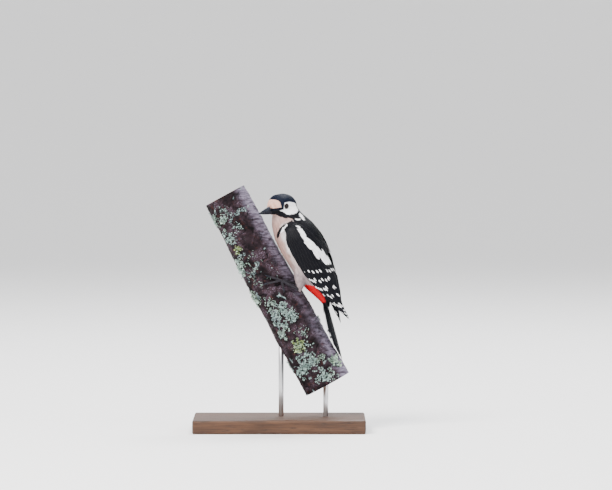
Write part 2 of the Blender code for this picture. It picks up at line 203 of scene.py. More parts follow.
def mesh_object(name, points, faces, finish, creases=None, maps=None, layers=None):
    """A mesh object from arrays. points: (n, 3) metres. faces: index arrays, one for each corner count.
    maps: (n, 2) UV maps by name. layers: values or colours for each point, by name. creases: points whose
    joining edges stay sharp."""
    corners = np.concatenate([f.ravel() for f in faces]).astype(np.int32)
    sizes = np.concatenate([np.full(len(f), f.shape[1]) for f in faces])
    mesh = bpy.data.meshes.new(name)
    mesh.vertices.add(len(points))
    mesh.vertices.foreach_set("co", points.astype(np.float32).ravel())
    mesh.loops.add(len(corners))
    mesh.loops.foreach_set("vertex_index", corners)
    mesh.polygons.add(len(sizes))
    mesh.polygons.foreach_set("loop_start", (np.cumsum(sizes) - sizes).astype(np.int32))
    mesh.update(calc_edges=True)
    mesh.shade_smooth()
    if creases is not None:
        ends = np.empty(2 * len(mesh.edges), np.int32)
        mesh.edges.foreach_get("vertices", ends)
        sharp = creases[ends.reshape(-1, 2)].all(1)
        mesh.attributes.new("sharp_edge", "BOOLEAN", "EDGE").data.foreach_set("value", sharp)
    for key, flat in (maps or {}).items():
        mesh.uv_layers.new(name=key).uv.foreach_set("vector", flat[corners].astype(np.float32).ravel())
    for key, values in (layers or {}).items():
        kind, field = ("FLOAT", "value") if values.ndim == 1 else ("FLOAT_COLOR", "color")
        if values.ndim == 2:
            values = np.concatenate([values, np.ones((len(values), 1))], 1)
        layer = mesh.attributes.new(key, kind, "POINT")
        layer.data.foreach_set(field, values.astype(np.float32).ravel())
    mesh.materials.append(finish)
    made = bpy.data.objects.new(name, mesh)
    bpy.context.scene.collection.objects.link(made)
    return made


def piece(name, points, faces, finish, slot, stands_for=(), **extras):
    """A closed mesh object, faces out, that rides with the model and may stand for some of its solids."""
    if volume(points, faces) < 0:
        faces = [f[:, ::-1] for f in faces]
    made = mesh_object(name, points, faces, finish, **extras)
    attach(made, "root")
    if stands_for:
        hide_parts(*stands_for)
    print(f"{name}: {len(points)} points, {sum(len(f) * (f.shape[1] - 2) for f in faces)} triangles")
    return made


print("quads in a grid of 3 by 4 points:", len(grid_faces(3, 4)))

# %% [markdown]
# ## Rings carried along a path
# Legs, toes, claws, bristles, bill and rods are all stacks of rings. A curve with a bevel could make the
# tubes, but then their rings and poles would be out of reach of a formula. Two fans of triangles close a
# stack.

# %% Tubes and caps


def tube(path, radii, sides=16, up=(0, 0, 1)):
    """Points and faces of a closed tube: circles square to the path, and a pole at each end.
    ring point = path + radius * (cos t * side + sin t * top), side = path's run x up."""
    run = unit(np.gradient(path, axis=0))
    side = unit(np.cross(run, up))
    top = np.cross(side, run)
    t = circle(sides)[None, :, None]
    rings = path[:, None] + radii[:, None, None] * (np.cos(t) * side[:, None] + np.sin(t) * top[:, None])
    return capped(rings, path[0] - run[0] * radii[0] / 2, path[-1] + run[-1] * radii[-1] / 2)


def fans(columns, poles, rings):
    """Triangles from two poles to the first and last ring, given as indices of points."""
    c, n = np.arange(columns), (np.arange(columns) + 1) % columns
    low = np.stack([0 * c + poles[0], rings[0] + n, rings[0] + c], 1)
    return np.concatenate([low, np.stack([0 * c + poles[1], rings[1] + c, rings[1] + n], 1)])


def capped(rings, first, last):
    """Closes a stack of rings (rows, columns, 3) with a pole at each end: points and faces."""
    rows, columns = rings.shape[:2]
    count = rows * columns
    faces = [grid_faces(rows, columns, ring=True), fans(columns, (count, count + 1), (0, count - columns))]
    return np.concatenate([rings.reshape(-1, 3), [first, last]]), faces


def joined(shapes):
    """Several (points, faces) shapes as one."""
    points, quads, triangles, start = [], [], [], 0
    for shape_points, (four, three) in shapes:
        points.append(shape_points)
        quads.append(four + start)
        triangles.append(three + start)
        start += len(shape_points)
    return np.concatenate(points), [np.concatenate(quads), np.concatenate(triangles)]


straw = tube(np.array(((0, 0, 0), (5, 0, 0), (10, 0, 0)), float), np.ones(3))
print("a tube 10 long and 2 thick holds", round(abs(volume(*straw)) / 6, 1))

# %% [markdown]
# ## Finishes as arithmetic
# A finish is a small graph of nodes. Wrapping a node's output in a class that knows +, - and * lets the
# graph be written as sums, so `1 - mask` adds the Math node by itself. Values that are the same all over
# are set on the shader's own sockets, and only what varies is linked.

# %% The node class


class Wire:
    """A node's output used in arithmetic: every operator adds one Math node."""

    def __init__(self, tree, socket=None):
        self.tree, self.socket = tree, socket

    def node(self, kind, settings=None, inputs=None, output=0):
        """Adds a node: its settings first, then the values or links of its sockets."""
        made = self.tree.nodes.new(kind)
        for name, value in (settings or {}).items():
            setattr(made, name, value)
        for name, value in (inputs or {}).items():
            socket = made.inputs[name]
            if isinstance(value, Wire):
                self.tree.links.new(value.socket, socket)
            else:
                socket.default_value = (*value, 1.0) if socket.type == "RGBA" else value
        return Wire(self.tree, made.outputs[output])

    def math(self, operation, *values):
        """A Math node over these values."""
        return self.node("ShaderNodeMath", {"operation": operation}, dict(enumerate(values)))

    def __add__(self, other):
        return self.math("ADD", self, other)

    def __sub__(self, other):
        return self.math("SUBTRACT", self, other)

    def __rsub__(self, other):
        return self.math("SUBTRACT", other, self)

    def __mul__(self, other):
        return self.math("MULTIPLY", self, other)

    __radd__, __rmul__ = __add__, __mul__

    def between(self, low, high):
        """0 at low, 1 at high and an S between them; low may be the larger."""
        inputs = {"Value": self, "From Min": low, "From Max": high}
        return self.node("ShaderNodeMapRange", {"interpolation_type": "SMOOTHSTEP"}, inputs)

    def blend(self, low, high):
        """The colour low where this is 0 and high where it is 1."""
        return self.node("ShaderNodeMix", {"data_type": "RGBA"}, {0: self, 6: low, 7: high}, 2)

    def shaded(self, colour):
        """The colour where this is 1 and black where it is 0."""
        return self.blend((0.0, 0.0, 0.0), colour)

    def lightness(self):
        """How bright this colour is, from 0 to 1."""
        return self.node("ShaderNodeRGBToBW", inputs={"Color": self})

    def attribute(self, name, output="Fac"):
        """A value or a colour that is stored on the points."""
        return self.node("ShaderNodeAttribute", {"attribute_name": name}, output=output)

    def place(self, scale=(1, 1, 1), turn=(0, 0, 0)):
        """The point on the piece itself, in metres, stretched and turned for a pattern."""
        here = self.node("ShaderNodeTexCoord", output="Object")
        return self.node("ShaderNodeMapping", inputs={"Vector": here, "Scale": scale, "Rotation": turn})

    def noise(self, scale, detail=3.0, warp=0.0, place=None):
        """Noise of this many cells a metre, at a point that may have been stretched and turned."""
        inputs = {"Vector": place or self.place(), "Scale": scale, "Detail": detail, "Distortion": warp}
        return self.node("ShaderNodeTexNoise", inputs=inputs, output="Fac")


def finish(name, constants, make):
    """A material: constants on the Principled BSDF's own sockets, then what make(start) returns is linked.
    A "Bump" height in metres goes through a Bump node into Normal."""
    made = bpy.data.materials.new(name)
    made.use_nodes = True
    shader = made.node_tree.nodes["Principled BSDF"]
    for socket, value in constants.items():
        shader.inputs[socket].default_value = value
    start = Wire(made.node_tree)
    links = make(start)
    height = links.pop("Bump", None)
    if height is not None:
        links["Normal"] = start.node("ShaderNodeBump", inputs={"Height": height, "Distance": 1.0})
    for socket, wire in links.items():
        made.node_tree.links.new(wire.socket, shader.inputs[socket])
    return made


# %% [markdown]
# ## Feather finishes
# A feather is a flat comb: fine barbs slant away from the shaft on both sides. Each vane carries its own
# map, across and along, so one finish draws the barbs on every feather whatever way it lies. Its colour
# comes as a value on each point, because the pattern of the plumage belongs to the bird and not to one
# feather. Dark feathers are glossier than pale ones.

# %% Feather and skin finishes
SOOT = np.array((0.0024, 0.0026, 0.0042))  # wings, tail, nape and moustache
# painted sheen: the crown's black is tinted blue for the gloss that light gives it
CROWN_BLUE_SHEEN = np.array((0.0022, 0.0045, 0.0135))  # the crown's blue gloss
SNOW = np.array((0.88, 0.87, 0.88))
CREAM = np.array((0.60, 0.38, 0.305))  # forehead
BUFF = np.array((0.36, 0.225, 0.195))  # breast
BELLY = np.array((0.27, 0.218, 0.225))
THIGH = np.array((0.24, 0.19, 0.195))
SCARLET = np.array((0.44, 0.002, 0.008))
BODY_BARBS, BODY_SLANT = 13.0, 9.0  # barbs along a small vane, and how far they run on per width
QUILL_BARBS, QUILL_SLANT = 46.0, 14.0
BARB_HEIGHT, SHAFT_HEIGHT = 0.00002, 0.0002  # metres of relief
PALE_FROM = 0.25  # lightness above which a feather is wholly matt


def barbs(start, per_length, slant):
    """Slanting lines: sin of 2 pi times (barbs along + slant times the distance from the shaft)."""
    at = start.node("ShaderNodeUVMap", {"uv_map": "vane"})
    across = start.node("ShaderNodeSeparateXYZ", inputs={"Vector": at})
    along = start.node("ShaderNodeSeparateXYZ", inputs={"Vector": at}, output=1)
    off_shaft = start.math("ABSOLUTE", across - 0.5)
    return start.math("SINE", (along * per_length + off_shaft * -slant) * math.tau), off_shaft


def coat_links(start):
    """The points' colour, darker along the barbs and matt where it is pale; the vane is a low ridge."""
    tone = start.attribute("tone", "Color")
    line, off_shaft = barbs(start, BODY_BARBS, BODY_SLANT)
    return {
        "Base Color": (line * 0.09 + 0.91).shaded(tone),
        "Roughness": tone.lightness().between(0.0, PALE_FROM) * 0.35 + 0.40,
        "Bump": line * BARB_HEIGHT + off_shaft * (-2 * BARB_HEIGHT),
    }


def quill_links(start):
    """Ground tone, spots where the phase of the wing's bars nears a whole number, and a pale tip."""
    web = start.attribute("web")
    bar = start.math("PINGPONG", start.attribute("phase") + web * 0.10, 0.5) * 5.7
    off_web = (web - 0.58) * 3.1
    ragged = start.noise(900.0, 2.0) * 0.5
    spot = (bar * bar + off_web * off_web + ragged).between(1.45, 1.05)
    mark = start.math("MAXIMUM", spot * start.attribute("marks"), start.attribute("tip"))
    marked = mark.blend(start.attribute("tone", "Color"), start.attribute("ink", "Color"))
    line, off_shaft = barbs(start, QUILL_BARBS, QUILL_SLANT)
    shaft = off_shaft.between(0.035, 0.015)
    return {
        "Base Color": (shaft * 0.55).blend((line * 0.06 + 0.94).shaded(marked), (0.03, 0.026, 0.026)),
        "Roughness": marked.lightness().between(0.0, PALE_FROM) * 0.3 + 0.36,
        "Bump": line * BARB_HEIGHT + shaft * SHAFT_HEIGHT,
    }


def skin_links(start):
    """The points' colour times 0.7 to 1, by a fine grain that also gives the relief."""
    grain, tone = start.noise(900.0), start.attribute("tone", "Color")
    return {"Base Color": (grain * 0.3 + 0.7).shaded(tone), "Bump": grain * 0.0001}


SOFT = {"Specular IOR Level": 0.07}
coat_finish = finish("feathers", SOFT, coat_links)
quill_finish = finish("flight_feathers", SOFT, quill_links)
skin_finish = finish("down", {"Roughness": 0.85, "Specular IOR Level": 0.2}, skin_links)
print("feather finishes:", coat_finish.name, quill_finish.name, skin_finish.name)

# %% [markdown]
# ## The bird's form
# Feathers have to be laid on a surface, and their tips have to make the outline that the solids have. The
# handiest surface is a formula: a number for each point in space that is negative inside the bird. Body and
# head are lofts of ovals and the thighs are tapered capsules, melted together by a smooth minimum. Moving
# a point against the number's slope brings it to any level, such as the skin under the coat.

# %% Sections of body and head, and the distance to them
BODY = (  # along, top, bottom, half width
    (74, 22.5, -0.5, 11.5),
    (68, 26.5, -5.0, 15.5),
    (60, 29.0, -8.6, 17.0),
    (52, 33.0, -10.6, 19.0),
    (42, 37.3, -12.0, 21.6),
    (28, 39.6, -11.5, 23.2),
    (12, 39.3, -9.2, 23.0),
    (-4, 36.3, -7.0, 21.2),
    (-20, 30.8, -2.8, 17.0),
    (-34, 24.5, 3.5, 12.5),
    (-46, 18.0, 8.5, 8.5),
    (-53, 14.5, 10.3, 5.5),
)
HEAD = (  # forward of the head's middle, top, bottom, half width
    (-18.0, 1.0, -5.0, 4.0),
    (-15.5, 5.6, -9.5, 8.4),
    (-10.0, 9.8, -12.4, 11.8),
    (-2.0, 12.2, -13.4, 13.7),
    (6.0, 12.4, -12.6, 13.4),
    (12.0, 10.2, -11.2, 10.8),
    (16.0, 6.6, -9.9, 7.8),
    (19.0, 2.6, -8.0, 4.8),
)
body_at, head_at = stations(BODY), stations(HEAD)
HIP, ANKLE = np.array((-3.0, 12.0, 3.0)), np.array((-21.0, 21.0, -4.0))
THIGH_R = (8.4, 7.2, 1.8)  # the thigh's radius at the hip, in between and at the ankle
NECK_MELT, THIGH_MELT = 4.0, 2.5  # millimetres over which two forms run together
EYE_R, EYE_AT = 4.1, np.array((3.9, 10.2, -1.3))


def oval_distance(table, sections, p):
    """Near the distance to a loft of ovals along x: r - r / rho, where rho is 1 on the section's oval."""
    ends = sorted((table[0][0], table[-1][0]))
    top, bottom, half = sections(np.clip(p[..., 0], *ends))
    y, z = p[..., 1], p[..., 2] - (top + bottom) / 2
    r = np.hypot(y, z) + 1e-6
    rho = np.hypot(y / half, z / ((top - bottom) / 2)) + 1e-6
    side = r - r / rho
    beyond = np.maximum(p[..., 0] - ends[1], ends[0] - p[..., 0])
    outside = np.hypot(np.maximum(side, 0), np.maximum(beyond, 0))
    return outside + np.minimum(np.maximum(side, beyond), 0)


def thigh_radius(t):
    """A quadratic curve from hip (0) to ankle (1): r0 (1 - t)^2 + 2 r1 t (1 - t) + r2 t^2."""
    return THIGH_R[0] * (1 - t) ** 2 + 2 * THIGH_R[1] * t * (1 - t) + THIGH_R[2] * t * t


def thigh_distance(p, side):
    """Distance to a capsule from hip to ankle with that radius."""
    flip = np.array((1, side, 1))
    run = (ANKLE - HIP) * flip
    t = np.clip((p - HIP * flip) @ run / (run @ run), 0, 1)
    return np.linalg.norm(p - HIP * flip - t[..., None] * run, axis=-1) - thigh_radius(t)


def melted(a, b, reach):
    """Smooth minimum: the lower of two distances, rounded off where they are within reach of each other."""
    h = np.clip(0.5 + 0.5 * (b - a) / reach, 0, 1)
    return b + (a - b) * h - reach * h * (1 - h)


def form(p):
    """The bird's form: negative inside, 0 at the tips of the coat."""
    torso = oval_distance(BODY, body_at, p)
    bird = melted(torso, oval_distance(HEAD, head_at, to_head(p)), NECK_MELT)
    for side in SIDES.values():
        bird = melted(bird, thigh_distance(p, side), THIGH_MELT)
    return bird


PROBES = np.array(((1, -1, -1), (-1, -1, 1), (-1, 1, -1), (1, 1, 1)), float)


def on_head(p):
    """True where a point of the form belongs to the head and not to the body."""
    return oval_distance(HEAD, head_at, to_head(p)) < oval_distance(BODY, body_at, p)


def slope(p, reach=0.05):
    """The form's gradient from four probes at the corners of a small tetrahedron."""
    return sum(form(p + reach * probe)[..., None] * probe for probe in PROBES) / (4 * reach)


def settled(p, depth, rounds=3):
    """Moves points along the slope until they lie at this level of the form."""
    for _ in range(rounds):
        rise = slope(p)
        p = p - ((form(p) - depth) / np.maximum((rise * rise).sum(-1), 0.05))[..., None] * rise
    return p


print("form at the breast:", round(float(form(np.array([[30.0, 0.0, -11.5]]))[0]), 2), "(0 is the outline)")

# %% [markdown]
# ## The pattern of the plumage
# A woodpecker's stripes run round the head and neck, and they swing with it when it looks aside. So the
# pattern is written for the upright, straight-necked bird: azimuth round from the bill, and height over the
# head's middle. `upright` undoes the turn of the neck, and every mark is a band between two eased curves
# of azimuth or height. Both sides get the same marks. Each feather takes the colour at its own place, so
# the edges of the marks are scalloped by the feathers, as on the real bird.

# %% Where a point lies on the upright bird
NECK_FROM, NECK_TO = 48, 70  # between these places the neck takes up the head's turn
STRAIGHT_HEAD = (78, 12)  # along and up to the head's middle, with the neck straight


def upright(p):
    """Azimuth in degrees from the bill, height, and how far the point belongs to the head (0 to 1)."""
    head_share = ease((p[..., 0] - NECK_FROM) / (NECK_TO - NECK_FROM))
    straight = np.stack([STRAIGHT_HEAD[1] - p[..., 2], p[..., 1], p[..., 0] - STRAIGHT_HEAD[0]], -1)
    q = straight + head_share[..., None] * (to_head(p) - straight)
    return np.degrees(np.arctan2(np.abs(q[..., 1]), q[..., 0])), q[..., 2], head_share


def line(*knots):
    """An eased curve through (place, value) knots."""
    xs, ys = zip(*knots)
    return lambda at: smooth_curve(xs, ys, at)


# Heights of edges over azimuth, from the crown down.
CHEEK_TOP = line(
    (36, -5.2), (46, -4.9), (55, -4.6), (58, -2.6), (61, 1.0), (68, 3.2), (89, 3.0), (115, 1.3), (137, -0.8)
)
CHEEK_BOTTOM = line((36, -5.0), (46, -6.4), (61, -8.8), (86, -12.0), (110, -12.6), (122, -11.5), (137, -8.4))
MALAR_BOTTOM = line((10, -9.2), (30, -11.8), (50, -13.6), (66, -14.7), (91, -16.9), (110, -19.9))
COMMA_TOP = line((36, -32.5), (44, -29.6), (51, -27.0), (62, -23.7), (77, -21.8), (96, -20.9), (108, -19.0))
COMMA_BOTTOM = line(
    (36, -33.2), (42, -34.6), (48, -33.6), (62, -28.6), (73, -25.4), (86, -23.2), (100, -22.4)
)
SHOULDER = line((73, -29.5), (87, -25.4), (107, -24.6), (112, -21.0))
DASH_TOP = line((117, -20.4), (128, -21.2), (139, -23.0))
DASH_BOTTOM = line((117, -21.0), (124, -22.5), (139, -24.3))
# Azimuths of edges over height.
NAPE_FRONT = line((-27.5, 153), (-21.6, 142), (-16.4, 135), (-13.6, 138))
NAPE_BACK = line((-27.5, 156), (-25.8, 158), (-18.6, 151.5), (-14.3, 141), (-13.0, 138))
BACK_EDGE = line((-120, 118), (-95, 104), (-60, 96), (-45, 90), (-33, 84), (-28, 96), (-22, 112))
# Where the scarlet starts along the body, over azimuth, and where the black of the rump starts.
VENT_FRONT = line((0, -18.0), (58, -18.8), (83, -22.0), (97, -25.0), (125, -40.0))
RUMP_FROM = -44.5
print("at the ear the cheek's white is", round(float(CHEEK_TOP(90) - CHEEK_BOTTOM(90)), 1), "mm high")

# %% [markdown]
# ## Painting the marks
# The marks are laid over one another: black first, then the pale front, the comma on the shoulder, cheek,
# nape, forehead and scarlet vent. Each edge eases over a few tenths of a millimetre, and noise mottles the
# breast. The coat is thinnest on the face and thickest on the body.

# %% The colour at a point


def above(value, edge, soft=0.35):
    """0 below the edge and 1 above it, easing over a few tenths of a millimetre."""
    return ease((value - edge) / soft + 0.5)


def inside(value, low, high, soft=0.35):
    """1 between low and high, easing to 0 at both edges."""
    return above(value, low, soft) * above(high, value, soft)


def painted(base, colour, mask):
    """base + mask * (colour - base)."""
    return base + mask[..., None] * (colour - base)


def all_over(colour, shape):
    """One colour on every point of a net of this shape."""
    return np.broadcast_to(colour, (*shape, 3))


def underparts(p, azimuth, height, head_share):
    """Pale throat, buff breast, greyer belly and whiter flanks, mottled, with dark streaks low down."""
    tone = painted(all_over(BUFF, height.shape), BELLY, ease((-height - 58) / 30))
    flank = ease((azimuth - 50 - 8 * bumps(p / 5, 3)) / 26) * ease((-18 - height) / 6)
    tone = painted(tone, SNOW * 0.8, flank * ease((height + 88) / 30) * 0.75)
    tone = painted(tone, BELLY * 0.55 + CREAM * 0.4, head_share * ease((height + 24) / 10))
    tone = tone * (1 + 0.24 * bumps(p / (9, 1.6, 1.6), 5))[..., None]
    streak = ease((bumps(p / (11, 2.2, 2.2), 11) - 0.25) / 0.3) * ease((azimuth - 50) / 25)
    return painted(tone, tone * 0.55, streak * ease((-70 - height) / 15))


def plumage(p):
    """The colour of the plumage at points of the bird frame, painted mark over mark."""
    azimuth, height, head_share = upright(p)
    forward, _, up = np.moveaxis(to_head(p), -1, 0)
    # painted sheen: the top of the head takes the crown's blue-tinted black for its gloss
    tone = painted(all_over(SOOT, height.shape), CROWN_BLUE_SHEEN, ease((height + 6) / 6))
    moustache = np.where(azimuth < 110, MALAR_BOTTOM(azimuth), -999)
    pale = above(moustache, height) * above(BACK_EDGE(height), azimuth, 3)
    shoulder = above(SHOULDER(azimuth), height) * ease((azimuth - 76) / 3) * (height > -33)
    tone = painted(tone, underparts(p, azimuth, height, head_share), pale * (1 - shoulder))
    comma = inside(height, COMMA_BOTTOM(azimuth), COMMA_TOP(azimuth)) * inside(azimuth, 38, 108, 3)
    tone = painted(tone, SOOT, comma)
    crescent = (height < COMMA_BOTTOM(azimuth)) & (height > SHOULDER(azimuth)) & (height > -32)
    tone = painted(tone, SNOW, (crescent & (azimuth > 60) & (azimuth < 106)) * 1.0)
    cheek = inside(height, CHEEK_BOTTOM(azimuth), CHEEK_TOP(azimuth)) * inside(azimuth, 37, 136, 2)
    tone = painted(tone, SNOW, cheek * (head_share > 0.3))
    nape = inside(azimuth, NAPE_FRONT(height), NAPE_BACK(height), 2) * inside(height, -27.0, -13.6)
    dash = inside(height, DASH_BOTTOM(azimuth), DASH_TOP(azimuth)) * inside(azimuth, 118, 140, 3)
    tone = painted(tone, SNOW, np.maximum(nape, dash))
    forehead = above(forward - 0.25 * np.maximum(up - 4.5, 0) ** 2, 10.9) * above(up, -1.6)
    cream = CREAM * (1 + 0.10 * bumps(p / 1.8, 9))[..., None]
    smudge = ease((bumps(p / 3.2, 12) - 0.05) / 0.5) * ease((6 - up) / 5)
    cream = painted(cream, cream * (0.80, 0.62, 0.50), smudge * 0.6)
    tone = painted(tone, cream, forehead * (head_share > 0.8))
    vent = above(VENT_FRONT(azimuth) + 1.5 * bumps(p / 2.5, 8), p[..., 0], 1.5) * (p[..., 0] < 0)
    tone = painted(tone, SCARLET, vent * ease((118 - azimuth) / 6))
    return painted(tone, SOOT, ease((RUMP_FROM - p[..., 0]) / 2.5))


BODY_COAT, CROWN_COAT, FACE_COAT = 1.7, 0.95, 0.65  # depths of the coat


def coat_depth(p):
    """Body depth + share of the head * (head depth - body depth); on the head it eases from face to crown."""
    azimuth, _, head_share = upright(p)
    head_coat = FACE_COAT + (CROWN_COAT - FACE_COAT) * ease((azimuth - 45) / 40)
    return BODY_COAT + head_share * (head_coat - BODY_COAT)


cheek_point, back_point = from_head(np.array([[0.0, 14.0, -5.0]])), np.array([[10.0, 0.0, 39.0]])
print("cheek:", np.round(plumage(cheek_point)[0], 2), "back:", np.round(plumage(back_point)[0], 3))

# %% [markdown]
# ## Skin
# One skin stands for head, neck, trunk and thighs, so that no seam shows between them. A sphere or a box
# could be carved down to it; here a voxel remesh of the rough lofts gives an even net of quads, and every
# point of that net is then drawn onto the form at the depth of the coat. It carries the same pattern as
# the feathers, so nothing pale gleams through the gaps of a black patch.

# %% A remeshed net drawn onto the form
SKIN_CELL = 1.2


def oval_points(sections, x, turn):
    """Points of a loft: the place along it, and the turn from its top round to its left."""
    top, bottom, half = sections(x)
    middle, high = (top + bottom) / 2, (top - bottom) / 2
    return np.stack([x + 0 * turn, half * np.sin(turn), middle + high * np.cos(turn)], -1)


def loft_shape(table, sections, rings=40, sides=48):
    """Ovals along x from one end of a table to the other, closed with poles."""
    rows = oval_points(sections, np.linspace(table[0][0], table[-1][0], rings)[:, None], circle(sides))
    return capped(rows, rows[0].mean(0), rows[-1].mean(0))


def remeshed(shapes, cell):
    """Even quads over the union of closed shapes, as points and quads; the shapes are in millimetres."""
    shape_points, groups = joined(shapes)
    mesh = bpy.data.meshes.new("rough")
    mesh.from_pydata(shape_points.tolist(), [], [tuple(f) for g in groups for f in g.tolist()])
    rough = bpy.data.objects.new("rough", mesh)
    bpy.context.scene.collection.objects.link(rough)
    modifier = rough.modifiers.new("even", "REMESH")
    modifier.mode, modifier.voxel_size = "VOXEL", cell
    even = rough.evaluated_get(bpy.context.evaluated_depsgraph_get()).to_mesh()
    points, quads = np.empty(3 * len(even.vertices)), np.empty(4 * len(even.polygons), np.int32)
    even.vertices.foreach_get("co", points)
    even.loops.foreach_get("vertex_index", quads)
    bpy.data.objects.remove(rough)
    return points.reshape(-1, 3), quads.reshape(-1, 4)


def outwards(shape):
    """The same closed shape with its faces turned out."""
    points, groups = shape
    return shape if volume(points, groups) > 0 else (points, [f[:, ::-1] for f in groups])


thigh_steps = np.linspace(0, 1, 14)
thigh_radii = np.interp(thigh_steps, (0, 0.5, 1), THIGH_R) * np.sin(np.linspace(0.5, 2.64, 14)) ** 0.5
thigh_path = HIP + (ANKLE - HIP) * thigh_steps[:, None]
head_points, head_faces = loft_shape(HEAD, head_at)
rough_parts = [loft_shape(BODY, body_at), (from_head(head_points), head_faces)]
rough_parts += [tube(thigh_path * (1, side, 1), thigh_radii, 24) for side in SIDES.values()]
net, net_quads = remeshed([outwards(part) for part in rough_parts], SKIN_CELL)
net = settled(net, 0.0, 4)
skin_points = settled(net, -coat_depth(net), 3)
FLESH = ("head", "neck", "trunk", "thigh_left", "thigh_right")
piece("skin", room(skin_points), [net_quads], skin_finish, "plumage", FLESH, layers={"tone": plumage(net)})

# %% [markdown]
# ## Contour feathers
# The coat is thousands of small vanes. Their roots follow the spiral of a sunflower, in which each new
# seed is turned by the golden angle: it spaces them evenly without rows. The vanes lie along the body from
# bill to tail and part round the eye. Hair could be combed this way too, but a solid vane can be exported.

# %% Where vanes grow, and how they lie
GOLDEN = math.pi * (3 - math.sqrt(5))
EYE_TILT = unit(np.array((0.24, 1.0, 0.04)))  # the eye's axis: a little forward and up
EYE_OPENING, EYE_PARTING = 2.75, 9.0  # radius without feathers, and where they stop parting round it


def sunflower(count):
    """Seeds from 0 to 1 and their turns round the axis, each the golden angle on from the last."""
    order = np.arange(count)
    return (order + 0.5) / count, order * GOLDEN


def scattered(places, density):
    """Seeds at this density over places in even steps: each seed's place, and its turn."""
    share = np.cumsum(density)
    seeds, turn = sunflower(int(share[-1] * (places[1] - places[0])))
    return np.interp(seeds, share / share[-1], places), turn


def on_map(across, along):
    """Shares across and along, as places on the bake map that keep off its edges."""
    return 0.05 + 0.9 * np.stack([across, along], 1)


def eye_offset(p, side):
    """How far points lie along and away from an eye's axis, and the direction away from it."""
    flip = np.array((1, side, 1))
    offset = to_head(p) - EYE_AT * flip
    along = offset @ (EYE_TILT * flip)
    away = offset - along[..., None] * (EYE_TILT * flip)
    return along, np.linalg.norm(away, axis=-1), unit(away) @ HEAD_TURN.T


def flattened(flow, normal):
    """Directions laid onto the surface."""
    return unit(flow - (flow * normal).sum(-1, keepdims=True) * normal)


def lie_of_coat(p, normal):
    """Tailwards on the body and away from the bill on the head, parting round each eye as water parts
    round a post: v + (r0 / r)^2 (v - 2 (v . out) out)."""
    head_share = upright(p)[2][..., None]
    tailward = np.array((-1.0, 0.0, 0.0))
    flow = flattened((1 - 0.55 * head_share) * tailward - head_share * HEAD_TURN[:, 0], normal)
    for side in SIDES.values():
        along, away, out = eye_offset(p, side)
        pull = ((EYE_OPENING + 0.6) / np.maximum(away, EYE_OPENING)) ** 2 * (along > 0) * (away < EYE_PARTING)
        flow = flow + pull[..., None] * (flow - 2 * (flow * out).sum(-1, keepdims=True) * out)
    return flattened(flow, normal)


print("seeds turn by", round(math.degrees(GOLDEN), 1), "degrees each")

# %% [markdown]
# ## One small feather
# A vane is a thin closed lens of about forty triangles: five rings of four points between a pole at its
# root and one at its tip. It rises from the skin to the outline and narrows to a loose point, so that many
# together look soft instead of scaly.

# %% Small vanes
VANE_RINGS = np.array((0.10, 0.34, 0.58, 0.80, 0.94))
OUTER_RIDGE = (14, 18)  # the points on the ridge of the last two rings
VANE_LONG, VANE_WIDE = 4.6, 1.7  # a vane's length and width, in gaps between roots
VANE_THICK, VANE_LIFT = 0.10, 0.25  # share of the width, and share of the coat that a tip may stand up by
VANE_JITTER = 9  # degrees
BAKE_PATCH = 0.003  # side of one tuft's patch on the bake map


def vane_faces():
    """Faces of one small vane whose points are root, five rings of four, tip."""
    tip = 1 + 4 * len(VANE_RINGS)
    return grid_faces(len(VANE_RINGS), 4, ring=True) + 1, fans(4, (0, tip), (1, tip - 4))


def uneven(gap):
    """Gaps up to a tenth smaller or larger."""
    return gap * (0.9 + 0.2 * DICE.random(len(gap)))


def jittered(lie, normal):
    """Each direction turned a little about its normal."""
    turn = np.radians((DICE.random(len(lie)) * 2 - 1) * VANE_JITTER)[:, None]
    return lie * np.cos(turn) + np.cross(normal, lie) * np.sin(turn)


def combed(roots):
    """The lie of the coat at these roots, a little untidy."""
    normal = unit(slope(roots))
    return jittered(lie_of_coat(roots, normal), normal)


def per_point(root, ring, tip):
    """A vane's values, point by point: its root, four points on each ring, its tip."""
    return np.concatenate([[root], np.broadcast_to(ring, (len(VANE_RINGS), 4)).ravel(), [tip]])


